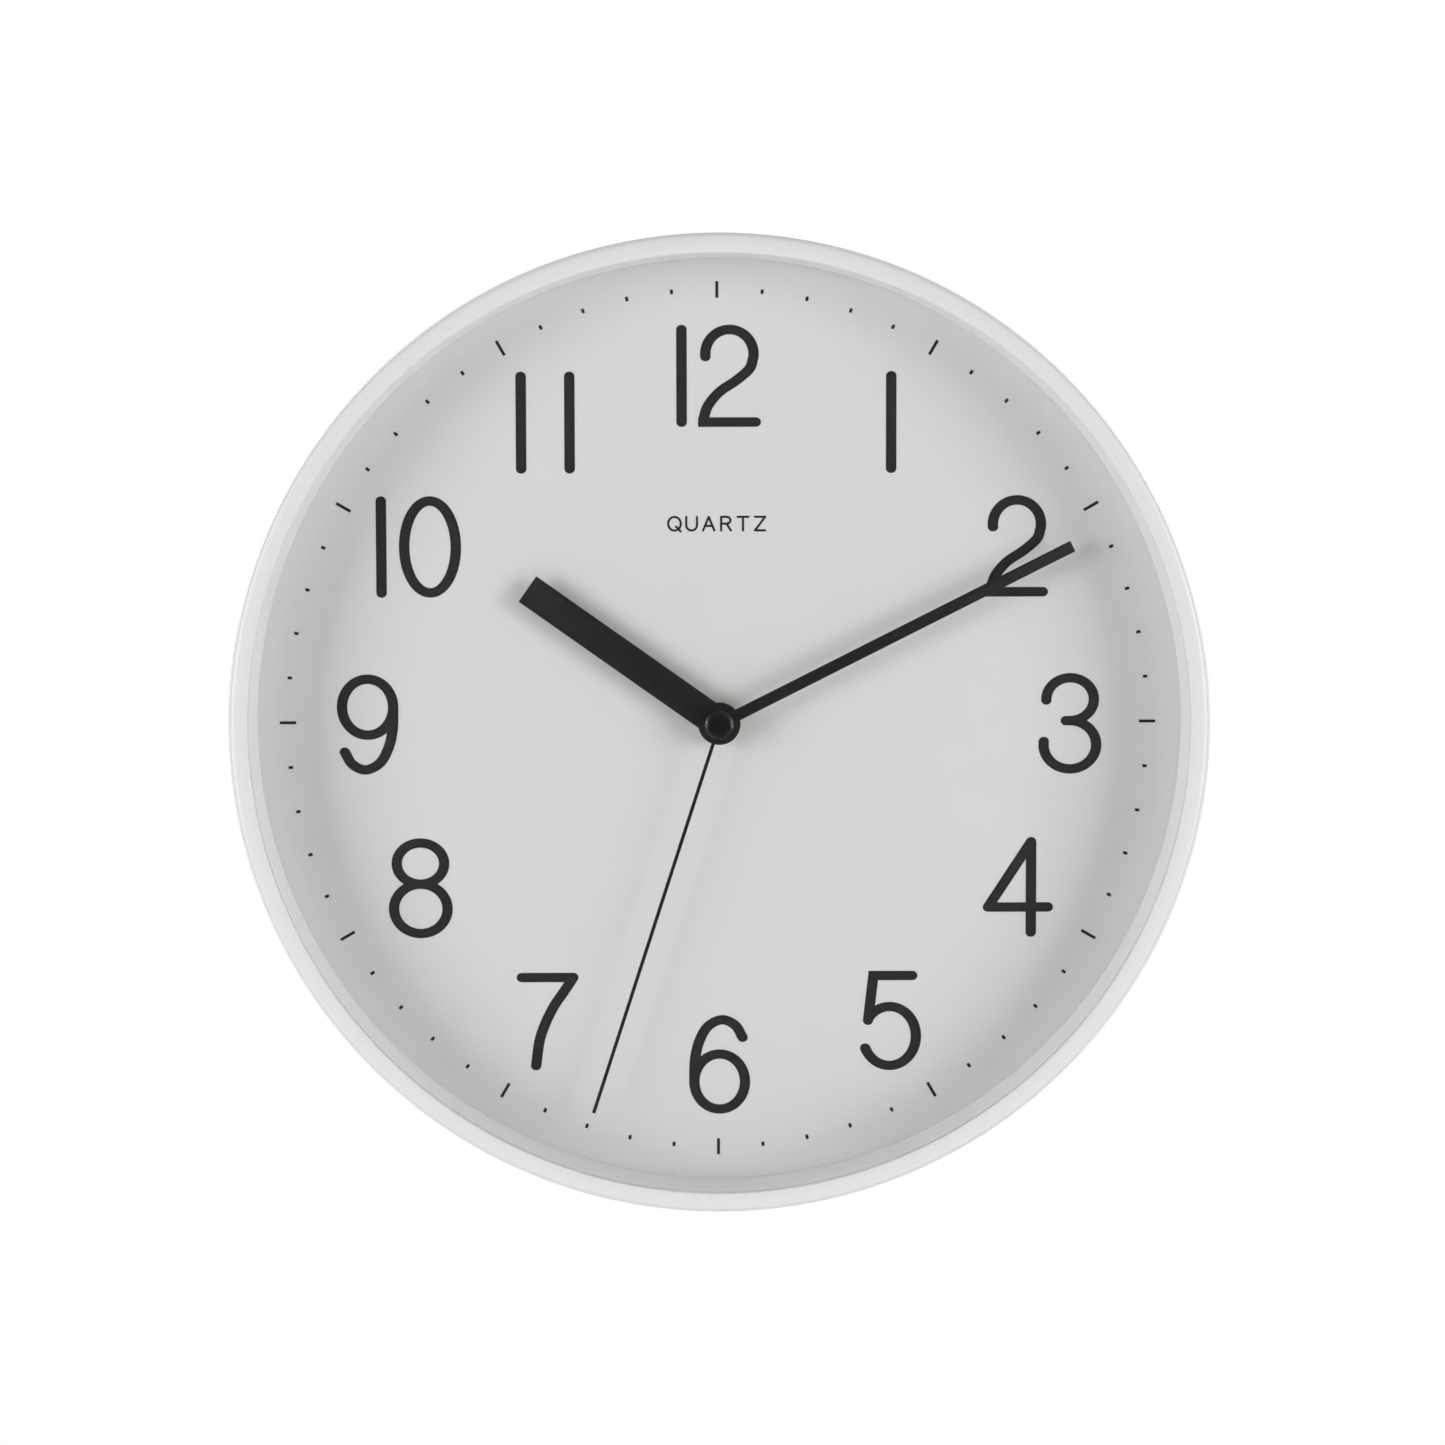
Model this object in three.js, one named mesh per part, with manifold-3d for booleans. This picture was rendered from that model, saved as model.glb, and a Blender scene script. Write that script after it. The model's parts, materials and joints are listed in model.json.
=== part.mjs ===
// Round wall clock: a white moulded case with flat glass, a printed dial with three hands,
// and a quartz movement with its gear train, driven by one AA cell.
// Everything is built in a local frame in millimetres: X right, Y up, Z from the wall to the viewer,
// with the hands' axis at X = Y = 0. The whole clock is then turned to face -Y, with +Z up.
import * as THREE from "three";
import { mergeVertices } from "three/addons/utils/BufferGeometryUtils.js";
import Module from "manifold-3d";

const wasm = await Module();
wasm.setup();

// ---- Driving dimensions ----

const GAP = 0.1; // running and seating clearance between neighbouring pieces

// case
const CASE_RADIUS = 150;
const CASE_DEPTH = 42;
const RIM_FACE = 6.1; // width of the rim's front face
const RIM_WALL = 2.1;
const RIM_EDGE_ROUND = 2;
const RIM_LIP = 2;
const RIM_DRAFT = 0.8; // how much the side narrows towards the wall
const RING_SEGMENTS = 64;
const GLASS_THICKNESS = 2;
const DIAL_FRONT = 20;
const DIAL_THICKNESS = 1;
const DIAL_RADIUS = 146.6;
const WALL_FOOT_RADIUS = 143.4; // inner wall at the dial
const SPACER_OUTER = 146.2;
const PLATE_THICKNESS = 1.6;
const PLATE_RADIUS = 147.4;
const SCREW_COUNT = 6;
const SCREW_CIRCLE = 146.8;
const BOSS_RADIUS = 2.1;
const SCREW_RADIUS = 1.2;
const SCREW_HEAD_RADIUS = 1.8;
const SCREW_PAD = 0.4; // raised seat under each screw head

// the time shown at rest
const HOUR = 10;
const MINUTE = 10;
const SECOND = 33;

// hands: lengths from the axis to the tip
const HOUR_HAND = { length: 72.5, width: 9.6, thickness: 0.8, back: 23.9, boss: 6.6 };
const MINUTE_HAND = { length: 122.0, width: 3.6, thickness: 0.7, back: 26.0, boss: 4.2 };
const SECOND_HAND = { length: 127.4, width: 1.1, thickness: 0.4, back: 28.2, boss: 3.2 };
const CAP_RADIUS = 4.5;
const CAP_TOP = 31;

// the nested arbors on the hands' axis
const SECOND_ARBOR = { outer: 0.45, top: 29.5 };
const CENTRE_PIPE = { inner: 0.6, outer: 0.95, top: 13.6 };
const CANNON_TUBE = { inner: 1.05, outer: 1.45, top: 27.3 };
const HOUR_TUBE = { inner: 1.7, outer: 2.6, top: 25 };
const BUSH = { inner: 2.9, outer: 4, top: 22.6 };

// movement
const MOVEMENT_SIDE = 56;
const MOVEMENT_FRONT = 16.2;
const MOVEMENT_SPLIT = 9.8; // where the front and rear cases meet
const MOVEMENT_REAR = 2.4; // outside of the rear wall behind the gears
const BAY_REAR = 0.9; // the battery bay's rim stands nearer to the wall
const MOVEMENT_WALL = 1.2;
const BAY_TOP = -11.2; // underside of the wall between the gears and the battery bay
const BATTERY = { radius: 7.25, length: 49.5, nub: 1, nubRadius: 2.7 };
const MIDDLE_PLATE = { back: 9.9, front: 10.7 };

// gear layers, from the wall towards the viewer
const WHEEL_THICKNESS = 0.6;
const PINION_THICKNESS = 0.9;
const LAYER = { rotor: 4.3, second: 5.7, third: 7.1, centre: 8.5, work: 11.5, hour: 13.1 };

// tooth counts and modules of the train
const ROTOR_PINION = 6;
const INTERMEDIATE_WHEEL = 36;
const INTERMEDIATE_PINION = 6;
const SECOND_WHEEL = 30;
const SECOND_PINION = 6;
const THIRD_WHEEL = 45;
const THIRD_PINION = 6;
const CENTRE_WHEEL = 48;
const CANNON_PINION = 10;
const WORK_WHEEL = 30;
const WORK_PINION = 8;
const HOUR_WHEEL = 32;
const KNOB_PINION = 10;
const ROTOR_MODULE = 0.4;
const SECOND_MODULE = 0.5;
const THIRD_MODULE = 0.34;
const WORK_MODULE = 0.4;

// ---- Finishes ----

function finish(color, roughness, metalness) {
  return new THREE.MeshStandardMaterial({ color, roughness, metalness });
}

const WHITE_ABS = finish(0xe4e5e6, 0.42, 0);
const DIAL_WHITE = finish(0xdcdddf, 0.6, 0);
const BACK_WHITE = finish(0xd6d6d4, 0.5, 0);
const HAND_BLACK = finish(0x18181a, 0.4, 0.1);
const CASE_BLACK = finish(0x1d1e20, 0.5, 0);
const GEAR_WHITE = finish(0xece8dc, 0.45, 0);
const GEAR_AMBER = finish(0xc98f3c, 0.45, 0);
const STEEL = finish(0xb9bcc0, 0.3, 1);
const BRASS = finish(0xc9a24d, 0.32, 1);
const COPPER = finish(0xb56a3a, 0.35, 1);
const BOARD_GREEN = finish(0x1f5a3a, 0.55, 0);
const MAGNET_GREY = finish(0x45474b, 0.5, 0.6);
const RUBBER_BLACK = finish(0x161616, 0.9, 0);
const CELL_BLUE = finish(0x2f4f7a, 0.35, 0.2);
const GLASS = new THREE.MeshStandardMaterial({
  color: 0xf4f8f8,
  roughness: 0.03,
  metalness: 0,
  transparent: true,
  opacity: 0.25,
});

// ---- Solid helpers ----

// A closed three.js geometry as a solid: its shared vertices are merged and flat slivers dropped.
function solid(geometry) {
  const bare = geometry.index ? geometry.toNonIndexed() : geometry.clone();
  bare.deleteAttribute("normal");
  bare.deleteAttribute("uv");
  const merged = mergeVertices(bare, 1e-4);
  const corners = merged.index.array;
  const kept = [];
  for (let i = 0; i < corners.length; i += 3) {
    const [a, b, c] = corners.slice(i, i + 3);
    if (a !== b && b !== c && c !== a) kept.push(a, b, c);
  }
  return new wasm.Manifold(
    new wasm.Mesh({
      numProp: 3,
      vertProperties: merged.attributes.position.array,
      triVerts: new Uint32Array(kept),
    }),
  );
}

function geometryOf(body) {
  const mesh = body.getMesh();
  const geometry = new THREE.BufferGeometry();
  geometry.setAttribute("position", new THREE.BufferAttribute(mesh.vertProperties, 3));
  geometry.setIndex(new THREE.BufferAttribute(mesh.triVerts, 1));
  geometry.computeVertexNormals();
  return geometry;
}

const join = (...bodies) => bodies.reduce((all, body) => all.add(body));
const cut = (body, ...tools) => tools.reduce((rest, tool) => rest.subtract(tool), body);

// A turned solid about the hands' axis, from [radius, z] points given counter-clockwise.
function turned(points, segments = RING_SEGMENTS) {
  const closed = points[0][0] === 0 ? points : [...points, points[0]];
  const profile = closed.map(([r, z]) => new THREE.Vector2(r, z));
  return solid(new THREE.LatheGeometry(profile, segments).rotateX(Math.PI / 2));
}

function ring(inner, outer, back, front, segments = RING_SEGMENTS) {
  return turned([[inner, back], [outer, back], [outer, front], [inner, front]], segments);
}

function rod(radius, back, front, x = 0, y = 0, segments = 16) {
  const geometry = new THREE.CylinderGeometry(radius, radius, front - back, segments);
  return solid(geometry.rotateX(Math.PI / 2).translate(x, y, (back + front) / 2));
}

function block(left, right, bottom, top, back, front) {
  const geometry = new THREE.BoxGeometry(right - left, top - bottom, front - back);
  return solid(geometry.translate((left + right) / 2, (bottom + top) / 2, (back + front) / 2));
}

function sheet(shape, back, front, curveSegments = 12) {
  const geometry = new THREE.ExtrudeGeometry(shape, {
    depth: front - back,
    bevelEnabled: false,
    curveSegments,
  });
  return solid(geometry.translate(0, 0, back));
}

// Points [x, y] spread evenly on a circle about the axis, starting from the given angle.
function around(count, radius, start = 0) {
  return Array.from({ length: count }, (_, i) => {
    const angle = start + (i * 2 * Math.PI) / count;
    return [radius * Math.cos(angle), radius * Math.sin(angle)];
  });
}

// A quarter circle in the [radius, z] plane, from one angle to another.
function quarter(centreR, centreZ, radius, from, to, steps) {
  return Array.from({ length: steps + 1 }, (_, i) => {
    const angle = from + ((to - from) * i) / steps;
    return [centreR + radius * Math.cos(angle), centreZ + radius * Math.sin(angle)];
  });
}

const clock = new THREE.Group();
clock.rotation.x = Math.PI / 2;

function addPart(name, body, material) {
  const mesh = new THREE.Mesh(geometryOf(body), material);
  mesh.name = name;
  clock.add(mesh);
  return mesh;
}

// ---- Case ----

const LIP_INNER = CASE_RADIUS - RIM_FACE;
const LIP_BACK = CASE_DEPTH - RIM_LIP;
const GLASS_FRONT = LIP_BACK - GAP;
const GLASS_BACK = GLASS_FRONT - GLASS_THICKNESS;
const DIAL_BACK = DIAL_FRONT - DIAL_THICKNESS;
const PLATE_FRONT = DIAL_BACK - GAP;
const PLATE_BACK = PLATE_FRONT - PLATE_THICKNESS;
const SCREW_START = Math.PI / SCREW_COUNT;
const SCREW_PLACES = around(SCREW_COUNT, SCREW_CIRCLE, SCREW_START);

function addRim() {
  const inner = CASE_RADIUS - RIM_WALL;
  const innerRound = 0.5;
  const shell = turned([
    [inner - RIM_DRAFT, 0],
    [CASE_RADIUS - RIM_DRAFT, 0],
    [CASE_RADIUS, CASE_DEPTH / 2],
    ...quarter(CASE_RADIUS - RIM_EDGE_ROUND, CASE_DEPTH - RIM_EDGE_ROUND, RIM_EDGE_ROUND, 0, Math.PI / 2, 3),
    ...quarter(LIP_INNER + innerRound, CASE_DEPTH - innerRound, innerRound, Math.PI / 2, Math.PI, 1),
    [LIP_INNER, LIP_BACK],
    [inner, LIP_BACK],
    [inner, PLATE_BACK],
  ]);
  const bossBack = PLATE_FRONT + GAP;
  const bossFront = GLASS_BACK - 0.4;
  const bosses = SCREW_PLACES.map(([x, y]) => rod(BOSS_RADIUS, bossBack, bossFront, x, y, 12));
  const pockets = SCREW_PLACES.map(([x, y]) => rod(BOSS_RADIUS, -1, bossBack, x, y, 12));
  const pilots = SCREW_PLACES.map(([x, y]) => rod(SCREW_RADIUS + GAP, bossBack - 1, bossBack + 12, x, y, 12));
  addPart("front_rim", cut(join(shell, ...bosses), ...pockets, ...pilots), WHITE_ABS);
}

function addGlass() {
  const radius = SPACER_OUTER - 0.4;
  addPart("glass_lens", turned([[0, GLASS_BACK], [radius, GLASS_BACK], [radius, GLASS_FRONT], [0, GLASS_FRONT]]), GLASS);
}

// The white inner wall between the dial and the glass, hollowed where the screw bosses pass.
function addSpacer() {
  const wall = turned([
    [WALL_FOOT_RADIUS, DIAL_FRONT + GAP],
    [SPACER_OUTER, DIAL_FRONT + GAP],
    [SPACER_OUTER, GLASS_BACK - GAP],
    [LIP_INNER, GLASS_BACK - GAP],
  ]);
  const grooves = SCREW_PLACES.map(([x, y]) => rod(BOSS_RADIUS + 0.2, 0, CASE_DEPTH, x, y, 12));
  addPart("spacer_ring", cut(wall, ...grooves), WHITE_ABS);
}

function addDial() {
  const disc = ring(BUSH.outer + 0.2, DIAL_RADIUS, DIAL_BACK, DIAL_FRONT);
  const notches = SCREW_PLACES.map(([x, y]) => rod(BOSS_RADIUS + 0.2, 0, CASE_DEPTH, x, y, 12));
  addPart("dial_plate", cut(disc, ...notches), DIAL_WHITE);
}

// The keyhole's outline: a round entry with a narrow slot above it for the nail's shank.
const KEYHOLE = { y: 112, entry: 4.6, slot: 2.3, rise: 9 };
const HANGER = { halfWidth: 15, below: 14, above: 20, wall: 2, back: 2.2 };

function addBackPlate() {
  const ribCount = 12;
  const ribHeight = 4;
  const ribHalf = 0.7;
  const hubRadius = 46;
  const flange = 2.2;
  const ribBack = PLATE_BACK - ribHeight;
  const disc = ring(BUSH.outer + 0.2, PLATE_RADIUS, PLATE_BACK, PLATE_FRONT);
  const edge = ring(PLATE_RADIUS - 0.8 - flange, PLATE_RADIUS - 0.8, ribBack, PLATE_BACK + 0.1);
  const hub = ring(hubRadius, hubRadius + 1.4, ribBack, PLATE_BACK + 0.1, 48);
  const ribs = around(ribCount, 1, Math.PI / ribCount).map(([x, y]) => {
    const rib = new THREE.BoxGeometry(PLATE_RADIUS - flange - hubRadius - 1, 2 * ribHalf, ribHeight + 0.1);
    rib.translate((PLATE_RADIUS - flange + hubRadius) / 2, 0, (ribBack + PLATE_BACK + 0.1) / 2);
    return solid(rib.rotateZ(Math.atan2(y, x)));
  });
  const ears = SCREW_PLACES.map(([x, y]) => rod(BOSS_RADIUS - GAP, PLATE_BACK - SCREW_PAD, PLATE_FRONT, x, y, 12));
  const { halfWidth, below, above, wall, back } = HANGER;
  const low = KEYHOLE.y - below;
  const high = KEYHOLE.y + above;
  const box = block(-halfWidth, halfWidth, low, high, back, PLATE_FRONT);
  const hollow = block(-halfWidth + wall, halfWidth - wall, low + wall, high - wall, back + wall, CASE_DEPTH);
  const entry = rod(KEYHOLE.entry, 0, back + wall + 1, 0, KEYHOLE.y, 20);
  const slotEnd = KEYHOLE.y + KEYHOLE.rise;
  const slot = block(-KEYHOLE.slot, KEYHOLE.slot, KEYHOLE.y, slotEnd, 0, back + wall + 1);
  const slotRound = rod(KEYHOLE.slot, 0, back + wall + 1, 0, slotEnd, 16);
  const holes = SCREW_PLACES.map(([x, y]) => rod(SCREW_RADIUS + GAP, 0, CASE_DEPTH, x, y, 12));
  const gutter = SCREW_PLACES.map(([x, y]) => rod(BOSS_RADIUS + 0.6, 0, PLATE_BACK - SCREW_PAD / 2, x, y, 12));
  const body = cut(join(disc, edge, hub, ...ribs), ...gutter);
  const whole = join(body, ...ears, box);
  addPart("back_plate", cut(whole, hollow, entry, slot, slotRound, ...holes), BACK_WHITE);
}

// Pan-head screws that hold the back plate in the rim, each with a cross recess.
function addCaseScrews() {
  SCREW_PLACES.forEach(([x, y], i) => {
    const seat = PLATE_BACK - SCREW_PAD - GAP;
    const headHeight = 1.3;
    const head = rod(SCREW_HEAD_RADIUS, seat - headHeight, seat, x, y, 12);
    const shank = rod(SCREW_RADIUS, seat - 0.1, PLATE_FRONT + 10, x, y, 8);
    const arm = 1.1;
    const half = 0.22;
    const recessFront = seat - headHeight + 0.7;
    const cross = [
      block(x - arm, x + arm, y - half, y + half, 0, recessFront),
      block(x - half, x + half, y - arm, y + arm, 0, recessFront),
    ];
    addPart("case_screw_" + (i + 1), cut(join(head, shank), ...cross), STEEL);
  });
}

// ---- Gears ----

// A toothed disc's outline. Each tooth is a trapezium thinner than its gap, which leaves backlash,
// and the first tooth is centred on the given angle.
function gearShape(teeth, module, phase) {
  const pitchRadius = (teeth * module) / 2;
  const tip = pitchRadius + 0.75 * module;
  const root = pitchRadius - 1.05 * module;
  const step = (2 * Math.PI) / teeth;
  const tipHalf = 0.09 * step;
  const rootHalf = 0.27 * step;
  const points = [];
  for (let i = 0; i < teeth; i += 1) {
    const centre = phase + i * step;
    const corners = [[root, -rootHalf], [tip, -tipHalf], [tip, tipHalf], [root, rootHalf]];
    for (const [r, offset] of corners) {
      points.push(new THREE.Vector2(r * Math.cos(centre + offset), r * Math.sin(centre + offset)));
    }
  }
  return new THREE.Shape(points);
}

function gear(teeth, module, phase, place, back, thickness) {
  const geometry = new THREE.ExtrudeGeometry(gearShape(teeth, module, phase), {
    depth: thickness,
    bevelEnabled: false,
  });
  return solid(geometry.translate(place.x, place.y, back));
}

// The angle of a follower's first tooth that puts its gap on the driver's tooth, where they mesh.
function meshedPhase(driverTeeth, driverPhase, driverPlace, teeth, place) {
  const line = Math.atan2(place.y - driverPlace.y, place.x - driverPlace.x);
  const driverShare = ((line - driverPhase) * driverTeeth) / (2 * Math.PI);
  return line + Math.PI - ((0.5 - driverShare) * 2 * Math.PI) / teeth;
}

const centreDistance = (a, b, module) => ((a + b) * module) / 2;

function placeFrom(origin, distance, degrees) {
  const angle = (degrees * Math.PI) / 180;
  return { x: origin.x + distance * Math.cos(angle), y: origin.y + distance * Math.sin(angle) };
}

// The third wheel and the minute work each mesh twice with the hands' axis,
// so their second modules follow from the shared centre distances.
const THIRD_DISTANCE = centreDistance(SECOND_PINION, THIRD_WHEEL, THIRD_MODULE);
const CENTRE_MODULE = (2 * THIRD_DISTANCE) / (THIRD_PINION + CENTRE_WHEEL);
const WORK_DISTANCE = centreDistance(CANNON_PINION, WORK_WHEEL, WORK_MODULE);
const HOUR_MODULE = (2 * WORK_DISTANCE) / (WORK_PINION + HOUR_WHEEL);

const AXIS = { x: 0, y: 0 };
const INTERMEDIATE_AT = placeFrom(AXIS, centreDistance(INTERMEDIATE_PINION, SECOND_WHEEL, SECOND_MODULE), 150);
const ROTOR_AT = placeFrom(INTERMEDIATE_AT, centreDistance(ROTOR_PINION, INTERMEDIATE_WHEEL, ROTOR_MODULE), 120);
const THIRD_AT = placeFrom(AXIS, THIRD_DISTANCE, 0);
const WORK_AT = placeFrom(AXIS, WORK_DISTANCE, 60);
const KNOB_AT = placeFrom(WORK_AT, centreDistance(KNOB_PINION, WORK_WHEEL, WORK_MODULE), 30);

const INTERMEDIATE_PHASE = meshedPhase(ROTOR_PINION, 0, ROTOR_AT, INTERMEDIATE_WHEEL, INTERMEDIATE_AT);
const SECOND_PHASE = meshedPhase(INTERMEDIATE_PINION, 0, INTERMEDIATE_AT, SECOND_WHEEL, AXIS);
const THIRD_PHASE = meshedPhase(SECOND_PINION, 0, AXIS, THIRD_WHEEL, THIRD_AT);
const CENTRE_PHASE = meshedPhase(THIRD_PINION, 0, THIRD_AT, CENTRE_WHEEL, AXIS);
const WORK_PHASE = meshedPhase(CANNON_PINION, 0, AXIS, WORK_WHEEL, WORK_AT);
const HOUR_PHASE = meshedPhase(WORK_PINION, 0, WORK_AT, HOUR_WHEEL, AXIS);
const KNOB_PHASE = meshedPhase(WORK_WHEEL, WORK_PHASE, WORK_AT, KNOB_PINION, KNOB_AT);

const REAR_WALL_FRONT = MOVEMENT_REAR + 1;
const FRONT_WALL_BACK = MOVEMENT_FRONT - 1;
const ARBOR_RADIUS = 0.6;
const PIVOT_RADIUS = 0.35;
const PIVOT_REACH = 0.6;

// An arbor with a thin pivot at each end that runs in the plates behind and in front of it.
function arbor(place, back, front) {
  const thick = rod(ARBOR_RADIUS, back + 0.2, front - 0.2, place.x, place.y, 12);
  const pivots = rod(PIVOT_RADIUS, back - PIVOT_REACH, front + PIVOT_REACH, place.x, place.y, 8);
  return join(thick, pivots);
}

function addTrain() {
  const pinionLift = (WHEEL_THICKNESS - PINION_THICKNESS) / 2;
  const pinionAt = (layer) => layer + pinionLift;

  const rotorArbor = arbor(ROTOR_AT, REAR_WALL_FRONT, MIDDLE_PLATE.back);
  const rotorPinion = gear(ROTOR_PINION, ROTOR_MODULE, 0, ROTOR_AT, pinionAt(LAYER.rotor), PINION_THICKNESS);
  addPart("rotor_pinion", join(rotorArbor, rotorPinion), GEAR_WHITE);
  const magnetBack = LAYER.second;
  const magnet = cut(
    rod(2.5, magnetBack, magnetBack + 3, ROTOR_AT.x, ROTOR_AT.y, 20),
    rod(ARBOR_RADIUS + GAP, magnetBack - 1, magnetBack + 4, ROTOR_AT.x, ROTOR_AT.y, 12),
  );
  addPart("rotor_magnet", magnet, MAGNET_GREY);

  const intermediate = join(
    arbor(INTERMEDIATE_AT, REAR_WALL_FRONT, MIDDLE_PLATE.back),
    gear(INTERMEDIATE_WHEEL, ROTOR_MODULE, INTERMEDIATE_PHASE, INTERMEDIATE_AT, LAYER.rotor, WHEEL_THICKNESS),
    gear(INTERMEDIATE_PINION, SECOND_MODULE, 0, INTERMEDIATE_AT, pinionAt(LAYER.second), PINION_THICKNESS),
  );
  addPart("intermediate_wheel", intermediate, GEAR_AMBER);

  const secondWheel = join(
    rod(SECOND_ARBOR.outer, REAR_WALL_FRONT - PIVOT_REACH, SECOND_ARBOR.top, 0, 0, 12),
    gear(SECOND_WHEEL, SECOND_MODULE, SECOND_PHASE, AXIS, LAYER.second, WHEEL_THICKNESS),
    gear(SECOND_PINION, THIRD_MODULE, 0, AXIS, pinionAt(LAYER.third), PINION_THICKNESS),
  );
  addPart("second_wheel", secondWheel, GEAR_WHITE);

  const third = join(
    arbor(THIRD_AT, REAR_WALL_FRONT, MIDDLE_PLATE.back),
    gear(THIRD_WHEEL, THIRD_MODULE, THIRD_PHASE, THIRD_AT, LAYER.third, WHEEL_THICKNESS),
    gear(THIRD_PINION, CENTRE_MODULE, 0, THIRD_AT, pinionAt(LAYER.centre), PINION_THICKNESS),
  );
  addPart("third_wheel", third, GEAR_AMBER);

  const centre = cut(
    join(
      gear(CENTRE_WHEEL, CENTRE_MODULE, CENTRE_PHASE, AXIS, LAYER.centre, WHEEL_THICKNESS),
      rod(CENTRE_PIPE.outer, LAYER.centre, CENTRE_PIPE.top, 0, 0, 16),
    ),
    rod(CENTRE_PIPE.inner, 0, CASE_DEPTH, 0, 0, 12),
  );
  addPart("centre_wheel", centre, GEAR_WHITE);

  const cannon = cut(
    join(
      gear(CANNON_PINION, WORK_MODULE, 0, AXIS, pinionAt(LAYER.work), PINION_THICKNESS),
      rod(CANNON_TUBE.outer, pinionAt(LAYER.work), CANNON_TUBE.top, 0, 0, 16),
    ),
    rod(CANNON_TUBE.inner, 0, CASE_DEPTH, 0, 0, 16),
  );
  addPart("cannon_pinion", cannon, BRASS);

  const work = join(
    arbor(WORK_AT, MIDDLE_PLATE.front, FRONT_WALL_BACK),
    gear(WORK_WHEEL, WORK_MODULE, WORK_PHASE, WORK_AT, LAYER.work, WHEEL_THICKNESS),
    gear(WORK_PINION, HOUR_MODULE, 0, WORK_AT, pinionAt(LAYER.hour), PINION_THICKNESS),
  );
  addPart("minute_work_wheel", work, GEAR_AMBER);

  const hour = cut(
    join(
      gear(HOUR_WHEEL, HOUR_MODULE, HOUR_PHASE, AXIS, LAYER.hour, WHEEL_THICKNESS),
      rod(HOUR_TUBE.outer, LAYER.hour, HOUR_TUBE.top, 0, 0, 24),
    ),
    rod(HOUR_TUBE.inner, 0, CASE_DEPTH, 0, 0, 20),
  );
  addPart("hour_wheel", hour, GEAR_WHITE);
}

// The hand-setting knob: a ribbed wheel outside the rear wall, on a shaft that ends in a pinion.
function addSettingKnob() {
  const knobRadius = 5;
  const ridges = 16;
  const knobBack = 0.6;
  const knobFront = MOVEMENT_REAR - 0.2;
  const shape = new THREE.Shape(
    around(ridges * 2, 1).map(([x, y], i) => {
      const r = i % 2 ? knobRadius : knobRadius - 0.45;
      return new THREE.Vector2(KNOB_AT.x + r * x, KNOB_AT.y + r * y);
    }),
  );
  const knob = join(
    sheet(shape, knobBack, knobFront),
    rod(1.2, knobFront - 0.1, LAYER.work + 0.1, KNOB_AT.x, KNOB_AT.y, 16),
    rod(PIVOT_RADIUS, LAYER.work, FRONT_WALL_BACK + PIVOT_REACH, KNOB_AT.x, KNOB_AT.y, 8),
    gear(KNOB_PINION, WORK_MODULE, KNOB_PHASE, KNOB_AT, LAYER.work - 0.15, PINION_THICKNESS),
  );
  addPart("setting_knob", knob, GEAR_WHITE);
}

// ---- Movement ----

const HALF = MOVEMENT_SIDE / 2;
const INSIDE = HALF - MOVEMENT_WALL;
const BAY_WALL_TOP = BAY_TOP + 1;
const PIVOT_HOLE = PIVOT_RADIUS + 0.12;

function addMovementCases() {
  const shaftHole = 1.4;
  const back = -1;
  const rearBox = join(
    block(-HALF, HALF, -HALF, HALF, MOVEMENT_REAR, MOVEMENT_SPLIT),
    block(-HALF, HALF, -HALF, BAY_WALL_TOP, BAY_REAR, MOVEMENT_SPLIT),
  );
  const rear = cut(
    rearBox,
    block(-INSIDE, INSIDE, BAY_WALL_TOP, INSIDE, REAR_WALL_FRONT, CASE_DEPTH),
    block(-INSIDE, INSIDE, -INSIDE, BAY_TOP, back, CASE_DEPTH),
    rod(SECOND_ARBOR.outer + GAP, back, REAR_WALL_FRONT + 1, 0, 0, 12),
    rod(shaftHole, back, REAR_WALL_FRONT + 1, KNOB_AT.x, KNOB_AT.y, 16),
    ...[ROTOR_AT, INTERMEDIATE_AT, THIRD_AT].map((p) => rod(PIVOT_HOLE, back, REAR_WALL_FRONT + 1, p.x, p.y, 8)),
  );
  addPart("movement_rear_case", rear, CASE_BLACK);

  const frontBox = join(
    block(-HALF, HALF, -HALF, HALF, MOVEMENT_SPLIT + GAP, MOVEMENT_FRONT),
    rod(BUSH.outer, MOVEMENT_FRONT - 0.1, BUSH.top, 0, 0, 24),
  );
  const front = cut(
    frontBox,
    block(-INSIDE, INSIDE, BAY_WALL_TOP, INSIDE, 0, FRONT_WALL_BACK),
    block(-INSIDE, INSIDE, -INSIDE, BAY_TOP, 0, FRONT_WALL_BACK),
    rod(BUSH.inner, 0, CASE_DEPTH, 0, 0, 24),
    ...[WORK_AT, KNOB_AT].map((p) => rod(PIVOT_HOLE, 0, MOVEMENT_FRONT - 0.2, p.x, p.y, 8)),
  );
  addPart("movement_front_case", front, CASE_BLACK);

  const edge = INSIDE - 0.3;
  const postInset = 3;
  const posts = [[-1, -1], [-1, 1], [1, -1], [1, 1]].map(([sx, sy]) => {
    const x = sx * (edge - postInset);
    const y = sy > 0 ? edge - postInset : BAY_WALL_TOP + postInset;
    return rod(1.2, REAR_WALL_FRONT + GAP, FRONT_WALL_BACK - GAP, x, y, 12);
  });
  const middle = cut(
    join(block(-edge, edge, BAY_WALL_TOP + 0.3, edge, MIDDLE_PLATE.back, MIDDLE_PLATE.front), ...posts),
    rod(CENTRE_PIPE.outer + GAP, 0, CASE_DEPTH, 0, 0, 16),
    rod(shaftHole, 0, CASE_DEPTH, KNOB_AT.x, KNOB_AT.y, 16),
    ...[ROTOR_AT, INTERMEDIATE_AT, THIRD_AT, WORK_AT].map((p) => rod(PIVOT_HOLE, 0, CASE_DEPTH, p.x, p.y, 8)),
  );
  addPart("middle_plate", middle, CASE_BLACK);
}

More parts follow.
